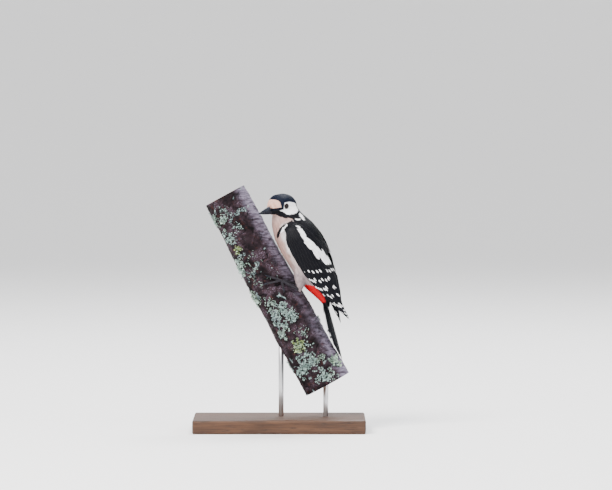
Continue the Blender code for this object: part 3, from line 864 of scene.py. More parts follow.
def coat(name, roots, lie, gap, place, long=VANE_LONG, tone=None):
    """A piece of small vanes. roots lie on the outline, a gap apart; place is each root's spot on the bake
    map; long is a vane's length in gaps, and tone its colour where the pattern doesn't give it.
    point = root + lie * length * s + side * x * width / 2 * outline(s), moved to its own level."""
    count, length, width = len(roots), gap * long, gap * VANE_WIDE
    side = np.cross(unit(slope(roots)), lie)
    s = per_point(0.0, VANE_RINGS[:, None], 1.0)
    x = per_point(0.0, (-1.0, 0.0, 1.0, 0.0), 0.0)
    outline = 0.4 + 0.6 * ease(VANE_RINGS / 0.4)
    outline = outline * (1 - 0.9 * np.clip((VANE_RINGS - 0.42) / 0.58, 0, 1) ** 1.4)
    x_wide = x * per_point(0.0, outline[:, None], 0.0)
    points = roots[:, None] + lie[:, None] * (length[:, None] * s)[..., None]
    points = points + side[:, None] * (width[:, None] / 2 * x_wide)[..., None]
    thick = per_point(0.0, (0.0, 1.0, 0.0, -0.35), 0.0) * (s * (1 - s)) ** 0.5 * VANE_THICK
    rise = DICE.random(count)[:, None] * VANE_LIFT * s**2
    depth = coat_depth(roots)[:, None]
    points = settled(points, depth * (-0.9 + 0.9 * s**0.6) + width[:, None] * thick + rise * depth)
    keep = np.ones(count, bool)
    for sign in SIDES.values():
        along, away, _ = eye_offset(points, sign)
        keep &= ~((along > 0) & (away < EYE_OPENING)).any(1)
    outer_ridge = points[:, OUTER_RIDGE].mean(1)
    colour = plumage(outer_ridge[:, None] * 0.6 + points * 0.4) if tone is None else tone[:, None]
    colour = colour * (1 + 0.16 * (DICE.random((count, 1, 1)) - 0.5))
    # painted shade: each vane is darker towards its root, under the vanes that cover it
    tones = colour * (0.90 + 0.1 * s)[None, :, None]
    kept = int(keep.sum())
    faces = [repeated(group, kept, len(s)) for group in vane_faces()]
    patch = np.stack([x / 2, s - 0.5], 1) * BAKE_PATCH
    maps = {
        "OFBake": (place[keep, None] + patch).reshape(-1, 2),
        "vane": np.tile(np.stack([x / 2 + 0.5, s], 1), (kept, 1)),
    }
    creases = np.tile((np.abs(x) > 0.5) | (s == 0) | (s == 1), kept)
    layers = {"tone": tones[keep].reshape(-1, 3)}
    flat = room(points[keep].reshape(-1, 3))
    return piece(name, flat, faces, coat_finish, "plumage", creases=creases, maps=maps, layers=layers)


print("triangles in a vane:", sum(len(group) * (group.shape[1] - 2) for group in vane_faces()))

# %% [markdown]
# ## Feathers of the head
# The smallest feathers are on the face, under a millimetre apart, and they grow towards the nape. The seeds
# of the spiral are spread over directions from the head's middle, closer together near the bill. A second,
# short spiral fills the rim round the bill, which those directions graze.

# %% Head coat
FACE_GAP, NAPE_GAP, HEAD_LONG = 0.62, 1.0, 4.4
HEAD_SPHERE, HEAD_RADIUS = (17.0, 13.0, 12.5), 14.0  # half sizes, and the mean radius for counting seeds
BILL_FROM, BILL_ASIDE, BILL_UNDER, BILL_OVER = 17.6, 3.4, -7.6, 0.8  # where the bill sits in the face
FACE_VANES, FACE_FROM, FACE_TO = 620, 19.3, 14.0  # the rim round the bill, forward of the head's middle

polar = np.linspace(0, math.pi, 400)
head_gap = FACE_GAP + (NAPE_GAP - FACE_GAP) * ease((polar - 0.9) / 1.2)
tilt, spin = scattered(polar, 2 * math.pi * HEAD_RADIUS**2 * np.sin(polar) / head_gap**2)
sphere = np.stack([np.cos(tilt), np.sin(tilt) * np.cos(spin), np.sin(tilt) * np.sin(spin)], 1)
roots = settled(from_head(sphere * HEAD_SPHERE + (0, 0, -0.5)), 0.0, 5)
forward, aside, up = to_head(roots).T
off_bill = (forward < BILL_FROM) | (np.abs(aside) > BILL_ASIDE) | (up < BILL_UNDER) | (up > BILL_OVER)
ours = on_head(roots) & off_bill
face_seeds, face_spin = sunflower(FACE_VANES)
face = oval_points(head_at, FACE_FROM + (FACE_TO - FACE_FROM) * face_seeds, face_spin)
roots = np.concatenate([roots[ours], settled(from_head(face), 0.0, 3)])
tilt = np.concatenate([tilt[ours], 0.1 + 0.4 * face_seeds])
spin = np.concatenate([spin[ours], face_spin]) % math.tau
gap = uneven(np.interp(tilt, polar, head_gap))
coat("plumage_head", roots, combed(roots), gap, on_map(spin / math.tau, tilt / math.pi), HEAD_LONG)

# %% [markdown]
# ## Feathers of the body
# Over neck, back, breast and belly the spiral runs along the body, and its pitch widens where the feathers
# are larger. No feather is made where a folded wing lies over it.

# %% Body coat
WING = (
    (53, 13.0, 19.0, 21.4, 60, 88),
    (45, 12.5, 25.0, 25.4, 45, 97),
    (34, 13.0, 28.2, 28.2, 36, 103),
    (20, 13.0, 29.2, 28.8, 26, 101),
    (2, 13.0, 28.4, 27.8, 19, 97),
    (-18, 14.0, 27.2, 24.8, 16, 92),
    (-38, 17.0, 22.6, 19.5, 15, 88),
    (-58, 22.0, 15.0, 13.5, 20, 84),
    (-77, 29.5, 4.8, 6.8, 35, 60),
)
wing_at = stations(WING)
WING_MIDDLE, WING_OVERLAP = 13.0, 9  # height of the wings' sections, and degrees of coat under their edge
BODY_FROM, BODY_TO, BODY_GAP, NECK_GAP = -52.5, 76.0, 1.42, 1.04
MAP_FROM, MAP_LENGTH = -53.0, 130.0  # the stretch of the body that the bake map holds


def round_from_back(p):
    """Degrees from the back round to either side."""
    return np.degrees(np.arctan2(np.abs(p[:, 1]), p[:, 2] - WING_MIDDLE))


along = np.linspace(BODY_FROM, BODY_TO, 500)
top, bottom, half = body_at(along)
girth = math.tau * np.hypot(half, (top - bottom) / 2) / math.sqrt(2)
body_gap = BODY_GAP + (NECK_GAP - BODY_GAP) * ease((along - 42) / 26)
a, spin = scattered(along, girth / body_gap**2)
roots = settled(oval_points(body_at, a, spin), 0.0, 4)
_, _, _, wing_inner, wing_outer = wing_at(roots[:, 0])
from_back = round_from_back(roots)
slack = np.where(roots[:, 1] > 0, 8, 16)
under_wing = (from_back > wing_inner + slack) & (from_back < wing_outer - WING_OVERLAP)
ours = ~on_head(roots) & ~(under_wing & (np.abs(roots[:, 0]) < 48))
for side in SIDES.values():
    ours &= thigh_distance(roots, side) > 0.3
roots, a, spin = roots[ours], a[ours], spin[ours] % math.tau
gap = uneven(np.interp(a, along, body_gap))
lie = combed(roots)
place = on_map(spin / math.tau, (a - MAP_FROM) / MAP_LENGTH)
long = VANE_LONG + 1.6 * ease((-28 - a) / 15)
neck = a > 44
for name, mask in {"plumage_neck": neck, "plumage_body": ~neck}.items():
    coat(name, roots[mask], lie[mask], gap[mask], place[mask], long[mask])

# %% [markdown]
# ## Feathers of the thighs
# Short feathers sleeve the thighs down to the ankles. Their spiral runs down each thigh.

# %% Thigh coat
THIGH_VANES, THIGH_GAP, ANKLE_GAP = 900, 1.3, 0.9

for name, side in SIDES.items():
    seeds, spin = sunflower(THIGH_VANES)
    run = (ANKLE - HIP) * (1, side, 1)
    across = unit(np.cross(unit(run), (0, 0, 1)))
    round_leg = np.cos(spin)[:, None] * across + np.sin(spin)[:, None] * np.cross(unit(run), across)
    roots = HIP * (1, side, 1) + run * seeds[:, None] + round_leg * thigh_radius(seeds)[:, None]
    roots = settled(roots, 0.0, 4)
    ours = thigh_distance(roots, side) < oval_distance(BODY, body_at, roots) + 0.6
    _, _, _, _, outer = wing_at(roots[:, 0])
    ours &= round_from_back(roots) > outer - WING_OVERLAP
    roots, seeds, spin = roots[ours], seeds[ours], spin[ours] % math.tau
    normal = unit(slope(roots))
    lie = jittered(flattened(unit(run), normal), normal)
    # painted shade: the thigh's feathers darken towards the ankle, low under the belly; the rest is a mottle
    tone = THIGH * ((1 + 0.35 * bumps(roots / 2.5, 4)) * (1.05 - 0.45 * seeds**2))[:, None]
    place = on_map(spin / math.tau, seeds)
    coat(f"plumage_thigh_{name}", roots, lie, THIGH_GAP + (ANKLE_GAP - THIGH_GAP) * seeds, place, tone=tone)

# %% [markdown]
# ## Blades: the long feathers
# Wing and tail feathers are long, stiff and few, so each gets a proper grid: rows from root to tip, columns
# across the web, with a ridge for the shaft. Top and underside are two nets that share their rim, which
# closes the blade without an edge face. The rows crowd towards the tip, where the outline turns fastest.

# %% Blades from grids
BLADE_X = {5: np.array((-1.0, -0.5, 0.0, 0.5, 1.0)), 7: np.array((-1.0, -0.6, -0.1, 0.0, 0.1, 0.6, 1.0))}


def blade_rows(rows, tip_from=0.8, root=0.4, sharp=0.5):
    """Places along the blade and its half width there: it swells from the root, then rounds off as
    (1 - u^2)^sharp, u running from 0 where the tip starts to 1 at its end."""
    s = 1 - (1 - np.linspace(0, 1, rows)) ** 1.5
    u = np.clip((s - tip_from) / (1 - tip_from), 0, 0.985)
    return s, (root + (1 - root) * ease(s / 0.3)) * (1 - u**2) ** sharp


def blade_faces(rows, columns):
    """A top net, and a bottom net that uses the top's rim and points of its own inside it."""
    low = np.arange(rows * columns).reshape(rows, columns)
    low[1:-1, 1:-1] = rows * columns + np.arange((rows - 2) * (columns - 2)).reshape(rows - 2, columns - 2)
    top_faces = grid_faces(rows, columns)
    return np.concatenate([top_faces, low.ravel()[top_faces][:, ::-1]])


def both_nets(top, low):
    """Values of the top net, then of the bottom net's inner points, blade by blade."""
    count, tail = len(top), top.shape[3:]
    inner = low[:, 1:-1, 1:-1].reshape(count, -1, *tail)
    return np.concatenate([top.reshape(count, -1, *tail), inner], 1).reshape(-1, *tail)


def blades(name, shape, thick, slot, layers, home=None, stands_for=(), look=quill_finish):
    """A piece of blades. shape(lift) gives the top net (blades, rows, columns, 3) raised by lift; layers are
    nets of values. home: each blade's root on the bake map, as a small patch; without it, each blade has
    a strip of the map to itself."""
    top, low = shape(0.0), shape(-thick)
    count, rows, columns = top.shape[:3]
    flat = np.stack(np.broadcast_arrays(BLADE_X[columns][None] / 2, np.linspace(0, 1, rows)[:, None]), -1)
    if home is None:
        strips = np.stack([(np.arange(count) + 0.5) / count, np.full(count, 0.03)], 1)
        bake = strips[:, None, None] + flat * (0.84 / count, 0.94)
    else:
        bake = home[:, None, None] + (flat - (0, 0.5)) * BAKE_PATCH
    maps = {"OFBake": bake, "vane": np.broadcast_to(flat + (0.5, 0), (count, rows, columns, 2))}
    nets = {key: np.broadcast_to(net, (*top.shape[:3], *net.shape[3:])) for key, net in layers.items()}
    faces = repeated(blade_faces(rows, columns), count, rows * columns + (rows - 2) * (columns - 2))
    rim = np.ones((count, rows, columns), bool)
    rim[:, 1:-1, 1:-1] = False
    return piece(
        name, room(both_nets(top, low)), [faces], look, slot, stands_for, creases=both_nets(rim, rim),
        maps={key: both_nets(net, net) for key, net in maps.items()},
        layers={key: both_nets(net, net) for key, net in nets.items()},
    )


def per_blade(values, net):
    """One value or colour for each blade, spread over its net."""
    values = np.asarray(values, float)
    return np.broadcast_to(values[:, None, None], (*net.shape, *values.shape[1:]))


print("triangles in a long blade:", 2 * len(blade_faces(30, 7)))

# %% [markdown]
# ## The folded wing
# A folded wing is a curved shield over the flank. Every blade on it is drawn in the shield's own
# coordinates, place along the bird and share across from back to belly, so none can leave it. Blades nearer
# the back lie on top of their neighbours, as a closed fan stacks. The right wing is held a little lower.

# %% The wing's surface
FAR_WING_DROOP = 0.18
BAR_STEP, BAR_FROM, BAR_SLANT = 11.5, -20.0, 11.0  # white bars: spacing, first one, and how far they slant
BARS = 12


def wing_points(side, a, share, lift):
    """An oval round the body, read between the wing's two edges, raised along its outward normal."""
    middle, high, wide, inner, outer = wing_at(a)
    if side < 0:
        middle = middle - FAR_WING_DROOP * np.clip(-a, 0, None)
    lift = lift - 0.6 * np.clip(a - 50, 0, None)
    angle = np.radians(inner + (outer - inner) * share)
    out = unit(np.stack([0 * angle, np.sin(angle) / wide, np.cos(angle) / high], -1))
    on = np.stack([a + 0 * angle, wide * np.sin(angle), middle + high * np.cos(angle)], -1)
    return (on + lift[..., None] * out) * (1, side, 1)


def wing_girth(a):
    """Millimetres across the wing from edge to edge."""
    _, high, wide, inner, outer = wing_at(a)
    return np.radians(outer - inner) * (high + wide) / 2


def barred(a, share, kept):
    """Phase of the bars, a little different on each feather, and which of the bars it shows.
    phase = (distance behind the first bar - slant * (0.7 - share)) / spacing, a whole number on a bar."""
    phase = (BAR_FROM - a - BAR_SLANT * (0.7 - share)) / BAR_STEP
    phase = phase + 0.36 * (DICE.random(len(a)) - 0.5)[:, None, None]
    has = DICE.random((len(a), BARS)) < kept
    number = np.clip(np.round(phase), 0, BARS - 1).astype(int)
    return phase, has[np.arange(len(a))[:, None, None], number] * 1.0


def shield(side, root, tip, half, lift, rows, columns, **outline):
    """Blades on the wing. root and tip are (place, share) columns; half is each half width in millimetres;
    lift is (at root, at tip). Returns the shape function and nets of place, share, x and distance to tip."""
    s, wide = (net[None, :, None] for net in blade_rows(rows, **outline))
    x = BLADE_X[columns][None, None, :]
    columns_in = (values[:, None, None] for values in (*root, *tip, half, *lift))
    root_a, root_share, tip_a, tip_share, half, low, high = columns_in
    a = root_a + (tip_a - root_a) * s + 0 * x
    middle = root_share + (tip_share - root_share) * s**2.5
    share = np.clip(middle + x * half * wide / np.maximum(wing_girth(a), 3), -0.03, 1.03)
    camber = half * (1 - x**2) * wide * (0.02 if columns == 7 else 0.07)
    raised = low + (high - low) * ease(s) + camber + 0.05 * (np.abs(x) < 0.05)
    to_tip = (1 - s) * np.abs(tip_a - root_a) + 0 * x
    return (lambda extra: wing_points(side, a, share, raised + extra)), a, share, x + 0 * a, to_tip


print("the wing is", round(float(wing_girth(np.array(0.0)))), "mm across at its middle")

# %% [markdown]
# ## Flight feathers
# Sixteen long blades make the rear of each wing: seven primaries that form the point, nine secondaries and
# tertials that shorten towards the back. Their white spots line up into bars across the closed wing, so a
# spot is drawn where a bar crosses a feather's outer web.

# %% Primaries, secondaries and tertials
QUILLS, PRIMARIES = 16, 7
FLIGHT_TIP = line((0, -71), (1, -77), (3, -73), (7, -55), (11, -45), (15, -29))
FLIGHT_HALF = line((0, 2.6), (4, 3.2), (9, 3.9), (15, 5.2))

for name, side in SIDES.items():
    order = np.arange(float(QUILLS))
    root = (8.0 - 0.3 * order, 0.97 - 0.056 * order)
    tip = (FLIGHT_TIP(order), 0.60 - 0.030 * order)
    lift = (-2.9 + 0.13 * order, -1.9 + 0.12 * order)
    shape, a, share, x, to_tip = shield(side, root, tip, FLIGHT_HALF(order), lift, 30, 7, sharp=0.7)
    dark = SOOT * (1 + 0.3 * DICE.random((QUILLS, 1)))
    phase, has = barred(a, share, 0.66)
    layers = {
        "tone": per_blade(dark, a) * (1.0 + 0.5 * ease((-a - 40) / 40))[..., None],
        "ink": all_over(SNOW, a.shape),
        "phase": phase,
        "web": x,
        "marks": per_blade(np.where(order < QUILLS - 2, 1.0, 0.5), a) * has,
        "tip": per_blade(np.where(order < PRIMARIES, 0.9, 0.0), a) * ease((1.9 - to_tip) / 0.8),
    }
    blades(f"flight_feathers_{name}", shape, 0.1, "wing_feathers", layers, stands_for=(f"flight_{name}",))

# %% [markdown]
# ## Coverts
# Rows of coverts lie like shingles over the roots of the flight feathers, smaller in each row forwards. A
# long white patch runs down the inner wing. A covert is white or black as a whole, by where its tip lies,
# and that gives the patch the stepped edge it has on the bird.

# %% Rows of coverts, and the white patch
WHITE_PATCH = (  # along, then the degrees from the back between which the wing is white
    (-13, 26, 27),
    (-12, 22, 32),
    (-7, 19, 42),
    (3, 21, 52),
    (12, 33, 56),
    (21, 42, 58.5),
    (32, 49, 60.5),
    (44, 52.5, 61),
    (47.5, 56, 57),
)
PATCH_FROM, PATCH_TO = -13, 47
patch_at = stations(WHITE_PATCH)
ROW_TIPS = (-15.0, -5.0, 3.0, 10.0, 16.5, 22.5, 28.0, 33.0, 37.5, 41.5, 45.0, 48.0, 50.7, 53.0)


def covert_rows():
    """Place and share of every covert's tip, its length, half width and row: pitch narrows forwards."""
    found = []
    for row, tip_at in enumerate(ROW_TIPS):
        pitch = 3.5 - 0.13 * row
        count = int(wing_girth(np.array(tip_at)) / pitch)
        share = (np.arange(count + 1) + (0.5 if row % 2 else 0.0)) / count
        share = share[share < 1.01]
        reach = 17.0 * math.exp(-0.13 * row) + 3.5
        found.append(np.stack(np.broadcast_arrays(tip_at, share, reach, pitch * 0.72, row)))
    return np.concatenate(found, 1)


for name, side in SIDES.items():
    tip_a, tip_share, reach, half, row = covert_rows()
    tip_a = tip_a + (DICE.random(len(tip_a)) - 0.5) * 2.2 - 5 * (row < 2) * (0.7 - tip_share)
    tip_share = tip_share + (DICE.random(len(row)) - 0.5) * 0.02
    root = (tip_a + reach, np.clip(tip_share, 0.02, 0.98))
    lift = (-0.3 - 0.055 * reach, -0.1 + 0.14 * DICE.random(len(row)))
    shape, a, share, x, to_tip = shield(side, root, (tip_a, root[1]), half, lift, 7, 5, tip_from=0.55)
    _, _, _, inner, outer = wing_at(tip_a)
    from_back = inner + (outer - inner) * tip_share
    low, high = patch_at(tip_a + 1.0)
    white = (from_back > low) & (from_back < high) & (tip_a > PATCH_FROM) & (tip_a < PATCH_TO)
    tone = np.where(white[:, None], SNOW, SOOT) * (1 + 0.18 * (DICE.random((len(row), 1)) - 0.5))
    spotted = ((row == 0) | ((row == 1) & (tip_share > 0.8))) & ~white
    phase, has = barred(a, share, 0.7)
    # painted shade: a covert is a tenth darker except in its last 4 mm, where the next row no longer covers
    # it
    layers = {
        "tone": per_blade(tone, a) * (0.9 + 0.1 * ease((4 - to_tip) / 4))[..., None],
        "ink": all_over(SNOW, a.shape),
        "phase": phase,
        "web": x,
        "marks": per_blade(spotted, a) * has,
        "tip": 0 * a,
    }
    home = on_map(tip_share, (root[0] - ROW_TIPS[0]) / 90)
    blades(f"coverts_{name}", shape, 0.12, "wing_feathers", layers, home, (f"wing_{name}",))

# %% [markdown]
# ## Tail
# Twelve stiff pointed feathers prop the bird against the trunk. The middle pair is longest and lies on top,
# and each pair outwards is shorter and lower. The outermost pair is white along its outer edge, with black
# bars near the tip, and the next pair only near the tip. The fan arches over the trunk, which the formula
# gives as a drop with the square of the distance from the middle.

# %% Twelve tail feathers
TAIL_ROOT, TAIL_LENGTH, TAIL_STEP, TAIL_Z, PERCH_R = -53.6, 62.0, 26.0, (11.6, 1.5), 26.4
TAIL_PAIRS, TAIL_HALF, TAIL_ROWS = 6, 3.3, 26  # pairs, half width of one feather, rows of its net
TAIL_BAR_STEP, TAIL_BAR_FROM = 8.5, 32.5

s, wide = (net[None, :, None] for net in blade_rows(TAIL_ROWS, tip_from=0.72, root=0.55, sharp=0.85))
x = BLADE_X[7][None, None, :]
pair, sign = np.repeat(np.arange(float(TAIL_PAIRS)), 2), np.tile((1.0, -1.0), TAIL_PAIRS)
pair, sign = pair[:, None, None], sign[:, None, None]
centre = sign * (pair + 0.5) / TAIL_PAIRS
reach = (TAIL_LENGTH + 0.6 - TAIL_STEP * np.abs(centre) ** 1.4) * s + 0 * x - 13 * (1 - s)
across = (6.0 + 8.6 * np.sin(1.7 * s)) * centre * (1 - 0.3 * s**3) + x * TAIL_HALF * wide
drop = TAIL_Z[0] + (TAIL_Z[1] - TAIL_Z[0]) * reach / TAIL_LENGTH - across**2 / (2.8 * PERCH_R)
stacked = 0.7 - 0.26 * pair + 0.06 * (1 - x**2) + 0.06 * (np.abs(x) < 0.05)


def tail_shape(extra):
    """The fan as a net: back from the tail's root, across, and down by the arch."""
    return np.stack(np.broadcast_arrays(TAIL_ROOT - reach, across, drop + stacked + extra), -1)


pale_from = np.select([pair >= 5, pair >= 4], [1.0, 27.0], 999.0)
outer_web = ease((x * sign + 0.25 * (pair >= 5)) / 0.3)
pale = ease((reach - pale_from) / 3.0) * ease((0.93 - s) / 0.03 + 0.5) * outer_web
layers = {
    "tone": painted(all_over(SOOT * 1.3, reach.shape), SNOW * 0.92, pale),
    "ink": all_over(SOOT, reach.shape),
    "phase": (reach - TAIL_BAR_FROM) / TAIL_BAR_STEP,
    "web": 0 * reach + 0.5,
    "marks": pale * ease((reach - 20) / 4),
    "tip": 0 * reach,
}
blades("tail_feathers", tail_shape, 0.16, "tail_feathers", layers, stands_for=("tail",))

# %% [markdown]
# ## Eyes
# Each eye is a ball with a slight bulge for the cornea, set deep in the head, and a lid ring that lies on
# it like a gasket. The iris is found by the angle from the eye's axis, kept as a value on each point.

# %% Eyeballs and lids
BALL_GRID, LID_GRID = (40, 48), (72, 16)  # rows and columns
LID_AT, LID_WIDTH, LID_HEIGHT = 0.62, 0.19, 0.24  # angles off the axis, and millimetres over the ball


def eye_links(start):
    """Pupil, iris with fine streaks, and a dark ring round it, by the angle from the axis."""
    off_axis = start.attribute("off_axis")
    streaks = start.noise(2500.0, 2.0)
    iris = (streaks * off_axis.between(0.6, 0.3)).blend((0.009, 0.002, 0.0018), (0.036, 0.008, 0.0055))
    ringed = off_axis.between(0.50, 0.60).blend(iris, (0.006, 0.004, 0.004))
    return {"Base Color": off_axis.between(0.42, 0.39).blend(ringed, (0.0015, 0.0015, 0.002))}


def lid_links(start):
    """Black skin with fine folds, as colour and relief."""
    folds = start.noise(2200.0, 4.0)
    return {"Base Color": folds.blend((0.002, 0.002, 0.0025), (0.010, 0.009, 0.010)), "Bump": folds * 0.00018}


WET = {"Roughness": 0.05, "Specular IOR Level": 0.13, "Coat Weight": 0.04, "Coat Roughness": 0.02}
eye_finish = finish("wet_eye", WET, eye_links)
lid_finish = finish("eyelid", {"Roughness": 0.6, "Specular IOR Level": 0.07}, lid_links)


def round_axis(axis, angle, turn, radius):
    """Points about the head frame's origin: radius at this angle off the axis, turned about it."""
    angle, turn, radius = (net[..., None] for net in np.broadcast_arrays(angle, turn, radius))
    ahead = unit(np.cross(np.cross(axis, (1.0, 0.0, 0.0)), axis))
    upward = np.cross(ahead, axis) * (1 if np.cross(ahead, axis)[2] > 0 else -1)
    ring = np.cos(turn) * ahead + np.sin(turn) * upward
    return radius * (np.cos(angle) * axis + np.sin(angle) * ring)


for name, side in SIDES.items():
    axis, middle = EYE_TILT * (1, side, 1), EYE_AT * (1, side, 1)
    rows, columns = BALL_GRID
    angle = np.linspace(0.04, math.pi - 0.04, rows)[:, None]
    bulge = EYE_R * (1 + 0.03 * np.exp(-((angle / 0.5) ** 2)))
    ball = round_axis(axis, angle, circle(columns), bulge)
    points, faces = capped(ball, axis * EYE_R * 1.03, -axis * EYE_R)
    off_axis = {"off_axis": np.concatenate([np.repeat(angle[:, 0], columns), [0.0, math.pi]])}
    points = room(from_head(points + middle))
    piece(f"eyeball_{name}", points, faces, eye_finish, "eye", (f"eye_{name}",), layers=off_axis)
    rows, columns = LID_GRID
    turn, loop = circle(rows)[:, None], circle(columns)
    opening = LID_AT + 0.08 * np.cos(turn) ** 2 - 0.05 * np.sin(turn)
    angle = opening + LID_WIDTH - LID_WIDTH * np.cos(loop)
    radius = EYE_R + 0.06 + LID_HEIGHT * np.sin(loop) + 0.05 * np.sin(9 * turn) * np.sin(loop)
    lid = round_axis(axis, angle, turn, radius).reshape(-1, 3)
    faces = grid_faces(rows + 1, columns, ring=True) % (rows * columns)
    piece(f"eyelid_{name}", room(from_head(lid + middle)), [faces], lid_finish, "plumage")

# %% [markdown]
# ## Bill
# The bill is a chisel: straight, wide at the base, with a ridge along the top and a square tip. Each half is
# a loft whose section is a rounded roof over a flat floor. The ridge and the edges are straight-line
# formulas of the place along the bill, so they meet the solids' edges.

# %% The two halves of the bill
FACE_CUT, BILL_LENGTH = 17.35, 19.0
CULMEN, GAPE, GONYS = (1.3, -4.2), (-3.1, -4.7), (-8.6, -5.3)  # heights at base and tip
BILL_HALF, BILL_TAPER, LOWER_WIDTH, GAPE_GAP = 4.0, 3.2, 0.86, 0.10
BILL_ROWS, ROOF_COLUMNS, FLOOR_COLUMNS = 44, 17, 9


def horn_links(start):
    """Dark horn with grain along it, slate-grey in patches of wear."""
    grain = start.noise(3.0, 4.0, place=start.place((60, 60, 900), (0, math.radians(9), 0)))
    wear = start.noise(260.0)
    tint = grain.blend((0.0016, 0.0022, 0.0045), (0.007, 0.0095, 0.017))
    return {
        "Base Color": wear.between(0.5, 0.85).blend(tint, (0.022, 0.027, 0.042)),
        "Roughness": grain * 0.2 + 0.24,
        "Bump": grain * 0.00012,
    }


horn_finish = finish("horn", {"Specular IOR Level": 0.2}, horn_links)


def bill_half(upper):
    """roof height = floor + (ridge - floor) * (0.28 + 0.72 (1 - |x|^1.9)); half width runs from 4 to 0.8."""
    t = np.linspace(-0.2, 1, BILL_ROWS)[:, None]
    reach = np.clip(t, 0, 1)
    half = (BILL_HALF - BILL_TAPER * reach**0.85) * (1.0 if upper else LOWER_WIDTH)
    edge, power = (CULMEN, 1.25) if upper else (GONYS, 1.6)
    ridge = edge[0] + (edge[1] - edge[0]) * reach**power
    floor = GAPE[0] + (GAPE[1] - GAPE[0]) * reach + (GAPE_GAP if upper else -GAPE_GAP)
    over, under = np.linspace(-1, 1, ROOF_COLUMNS), np.linspace(0.92, -0.92, FLOOR_COLUMNS)
    x = np.concatenate([over, under])
    roof = np.concatenate([0.28 + 0.72 * (1 - np.abs(over) ** 1.9), 0 * under])
    groove = 0.25 * np.exp(-(((np.abs(x) - 0.72) / 0.12) ** 2)) * ease((0.6 - t) / 0.3) * (roof > 0)
    rings = [FACE_CUT + BILL_LENGTH * t, (half - groove) * x, floor + (ridge - floor) * roof]
    rings = np.stack(np.broadcast_arrays(*rings), -1)
    return capped(rings, rings[0].mean(0), rings[-1].mean(0) + (0.12, 0, 0))


for name, upper in (("upper", True), ("lower", False)):
    points, faces = bill_half(upper)
    piece(f"beak_{name}", room(from_head(points)), faces, horn_finish, "bill", (f"bill_{name}",))

# %% [markdown]
# ## Bristles
# Stiff tufts at the bill's base keep wood dust out of the nostrils. They point forwards, pale above and
# black at the sides. Each is a thin tapering tube of four sides along a straight line.

# %% Tufts over the base of the bill
BRISTLES = 150
BRISTLE_RADII = np.array((0.16, 0.2, 0.14, 0.03))

bristles, tones = [], []
for _ in range(BRISTLES):
    swing = (DICE.random() * 2 - 1) * 2.3
    out = np.array((0.0, math.sin(swing), math.cos(swing)))
    at = np.array((15.2 + 1.9 * DICE.random(), 0, -2.6)) + out * (4.4, 4.4, 4.0)
    tip = at + np.array((3.2 + 1.6 * DICE.random(), 0, 0)) - out * (1.0 + 0.5 * DICE.random())
    s = np.linspace(0, 1, 4)[:, None]
    path = at + (tip - at) * s + out * 0.35 * np.sin(3 * s)
    bristles.append(outwards(tube(from_head(path), BRISTLE_RADII, 4, up=HEAD_TURN[:, 1])))
    tones.append(CREAM * 0.9 if abs(swing) < 1.0 + 0.25 * DICE.random() else SOOT)
points, faces = joined(bristles)
each = len(points) // BRISTLES
middles = np.stack([(np.arange(BRISTLES) + 0.5) / BRISTLES, np.full(BRISTLES, 0.5)], 1)
flat = np.repeat(middles, each, 0)
maps = {"OFBake": flat + DICE.random(flat.shape) * BAKE_PATCH, "vane": np.tile((0.4, 0.5), (len(points), 1))}
layers = {"tone": np.repeat(tones, each, 0)}
piece("bristles", room(points), faces, coat_finish, "plumage", maps=maps, layers=layers)

# %% [markdown]
# ## The trunk's surface
# Feet, bark and lichen all lie on the trunk, so its surface comes first: a tapering tube with shallow
# swellings, tilted a little to the bird's axis. A point on it is an angle round from the bird, a height
# and a lift off the bark.

# %% A point on the trunk
PERCH_FOOT, PERCH_TILT = (2.5, -37.6), math.radians(4.8)  # a point of its axis, and its lean to the bird's
PERCH_TAPER, PERCH_TOP, PERCH_BOTTOM = 0.012, 112.0, -138.0


def trunk_point(angle, height, lift=0.0, share=1.0):
    """radius = 26.4 - 0.012 height + two swells; share 0 is the trunk's middle and 1 its surface."""
    swell = 0.5 * np.sin(3 * angle + 0.03 * height) + 0.35 * np.sin(5 * angle - 0.05 * height + 1.0)
    out = (PERCH_R - PERCH_TAPER * height + swell) * share + lift
    near = out * np.cos(angle)
    x = PERCH_FOOT[0] + height * math.cos(PERCH_TILT) + near * math.sin(PERCH_TILT)
    z = PERCH_FOOT[1] - height * math.sin(PERCH_TILT) + near * math.cos(PERCH_TILT)
    return np.stack([x, out * np.sin(angle), z], -1)


print("trunk's thickness at the feet:", round(2 * PERCH_R), "mm")

# %% [markdown]
# ## Feet and claws
# A woodpecker grips with two toes forwards, one out to the side and a short one behind. The legs wear
# scutes, overlapping plates across the front, with fine scales behind. A tube whose radius is a saw wave
# along its length gives the plates; joints are slight swellings. The claws are strong hooks of dark horn.

# %% Scaled toes and hooked claws
TOE_ROOT, TOE_R, CLAW_R, GAP = (52.0, -6.0), 1.2, 0.95, 0.35
TOE_ARCH, CLAW_ARCH, LIMB_UP = 0.9, 1.9, (0.2, 1.0, 0.4)
TOES = {  # turn round the trunk and rise along it, from the root to the claw's root, and claw length
    "inner": (19.0, 10.0, 7.0),
    "front": (31.0, 4.5, 8.0),
    "outer": (-31.0, -11.5, 8.0),
    "hind": (5.0, -9.0, 6.0),
}
lift = TOE_R + GAP + 0.25


def scale_links(start):
    """Small scales, as cells that sink and pale at their edges, with dirt on them."""
    cells = {"Vector": start.place(), "Scale": 1500.0}
    edge = start.node("ShaderNodeTexVoronoi", {"feature": "DISTANCE_TO_EDGE"}, cells, output="Distance")
    dirt = start.noise(500.0)
    tint = dirt.blend((0.004, 0.0032, 0.005), (0.018, 0.0145, 0.021))
    return {
        "Base Color": edge.between(0.0, 0.12).blend((0.011, 0.0095, 0.012), tint),
        "Roughness": dirt * 0.3 + 0.45,
        "Bump": edge.between(0.0, 0.2) * 0.00012,
    }


leg_finish = finish("scaled_leg", {"Specular IOR Level": 0.2}, scale_links)


def on_bark(turn, rise, high, side):
    """A point this high over the bark, by its turn and rise from the root of the toes."""
    return trunk_point(np.radians(side * (TOE_ROOT[0] + turn)), TOE_ROOT[1] + rise, high)


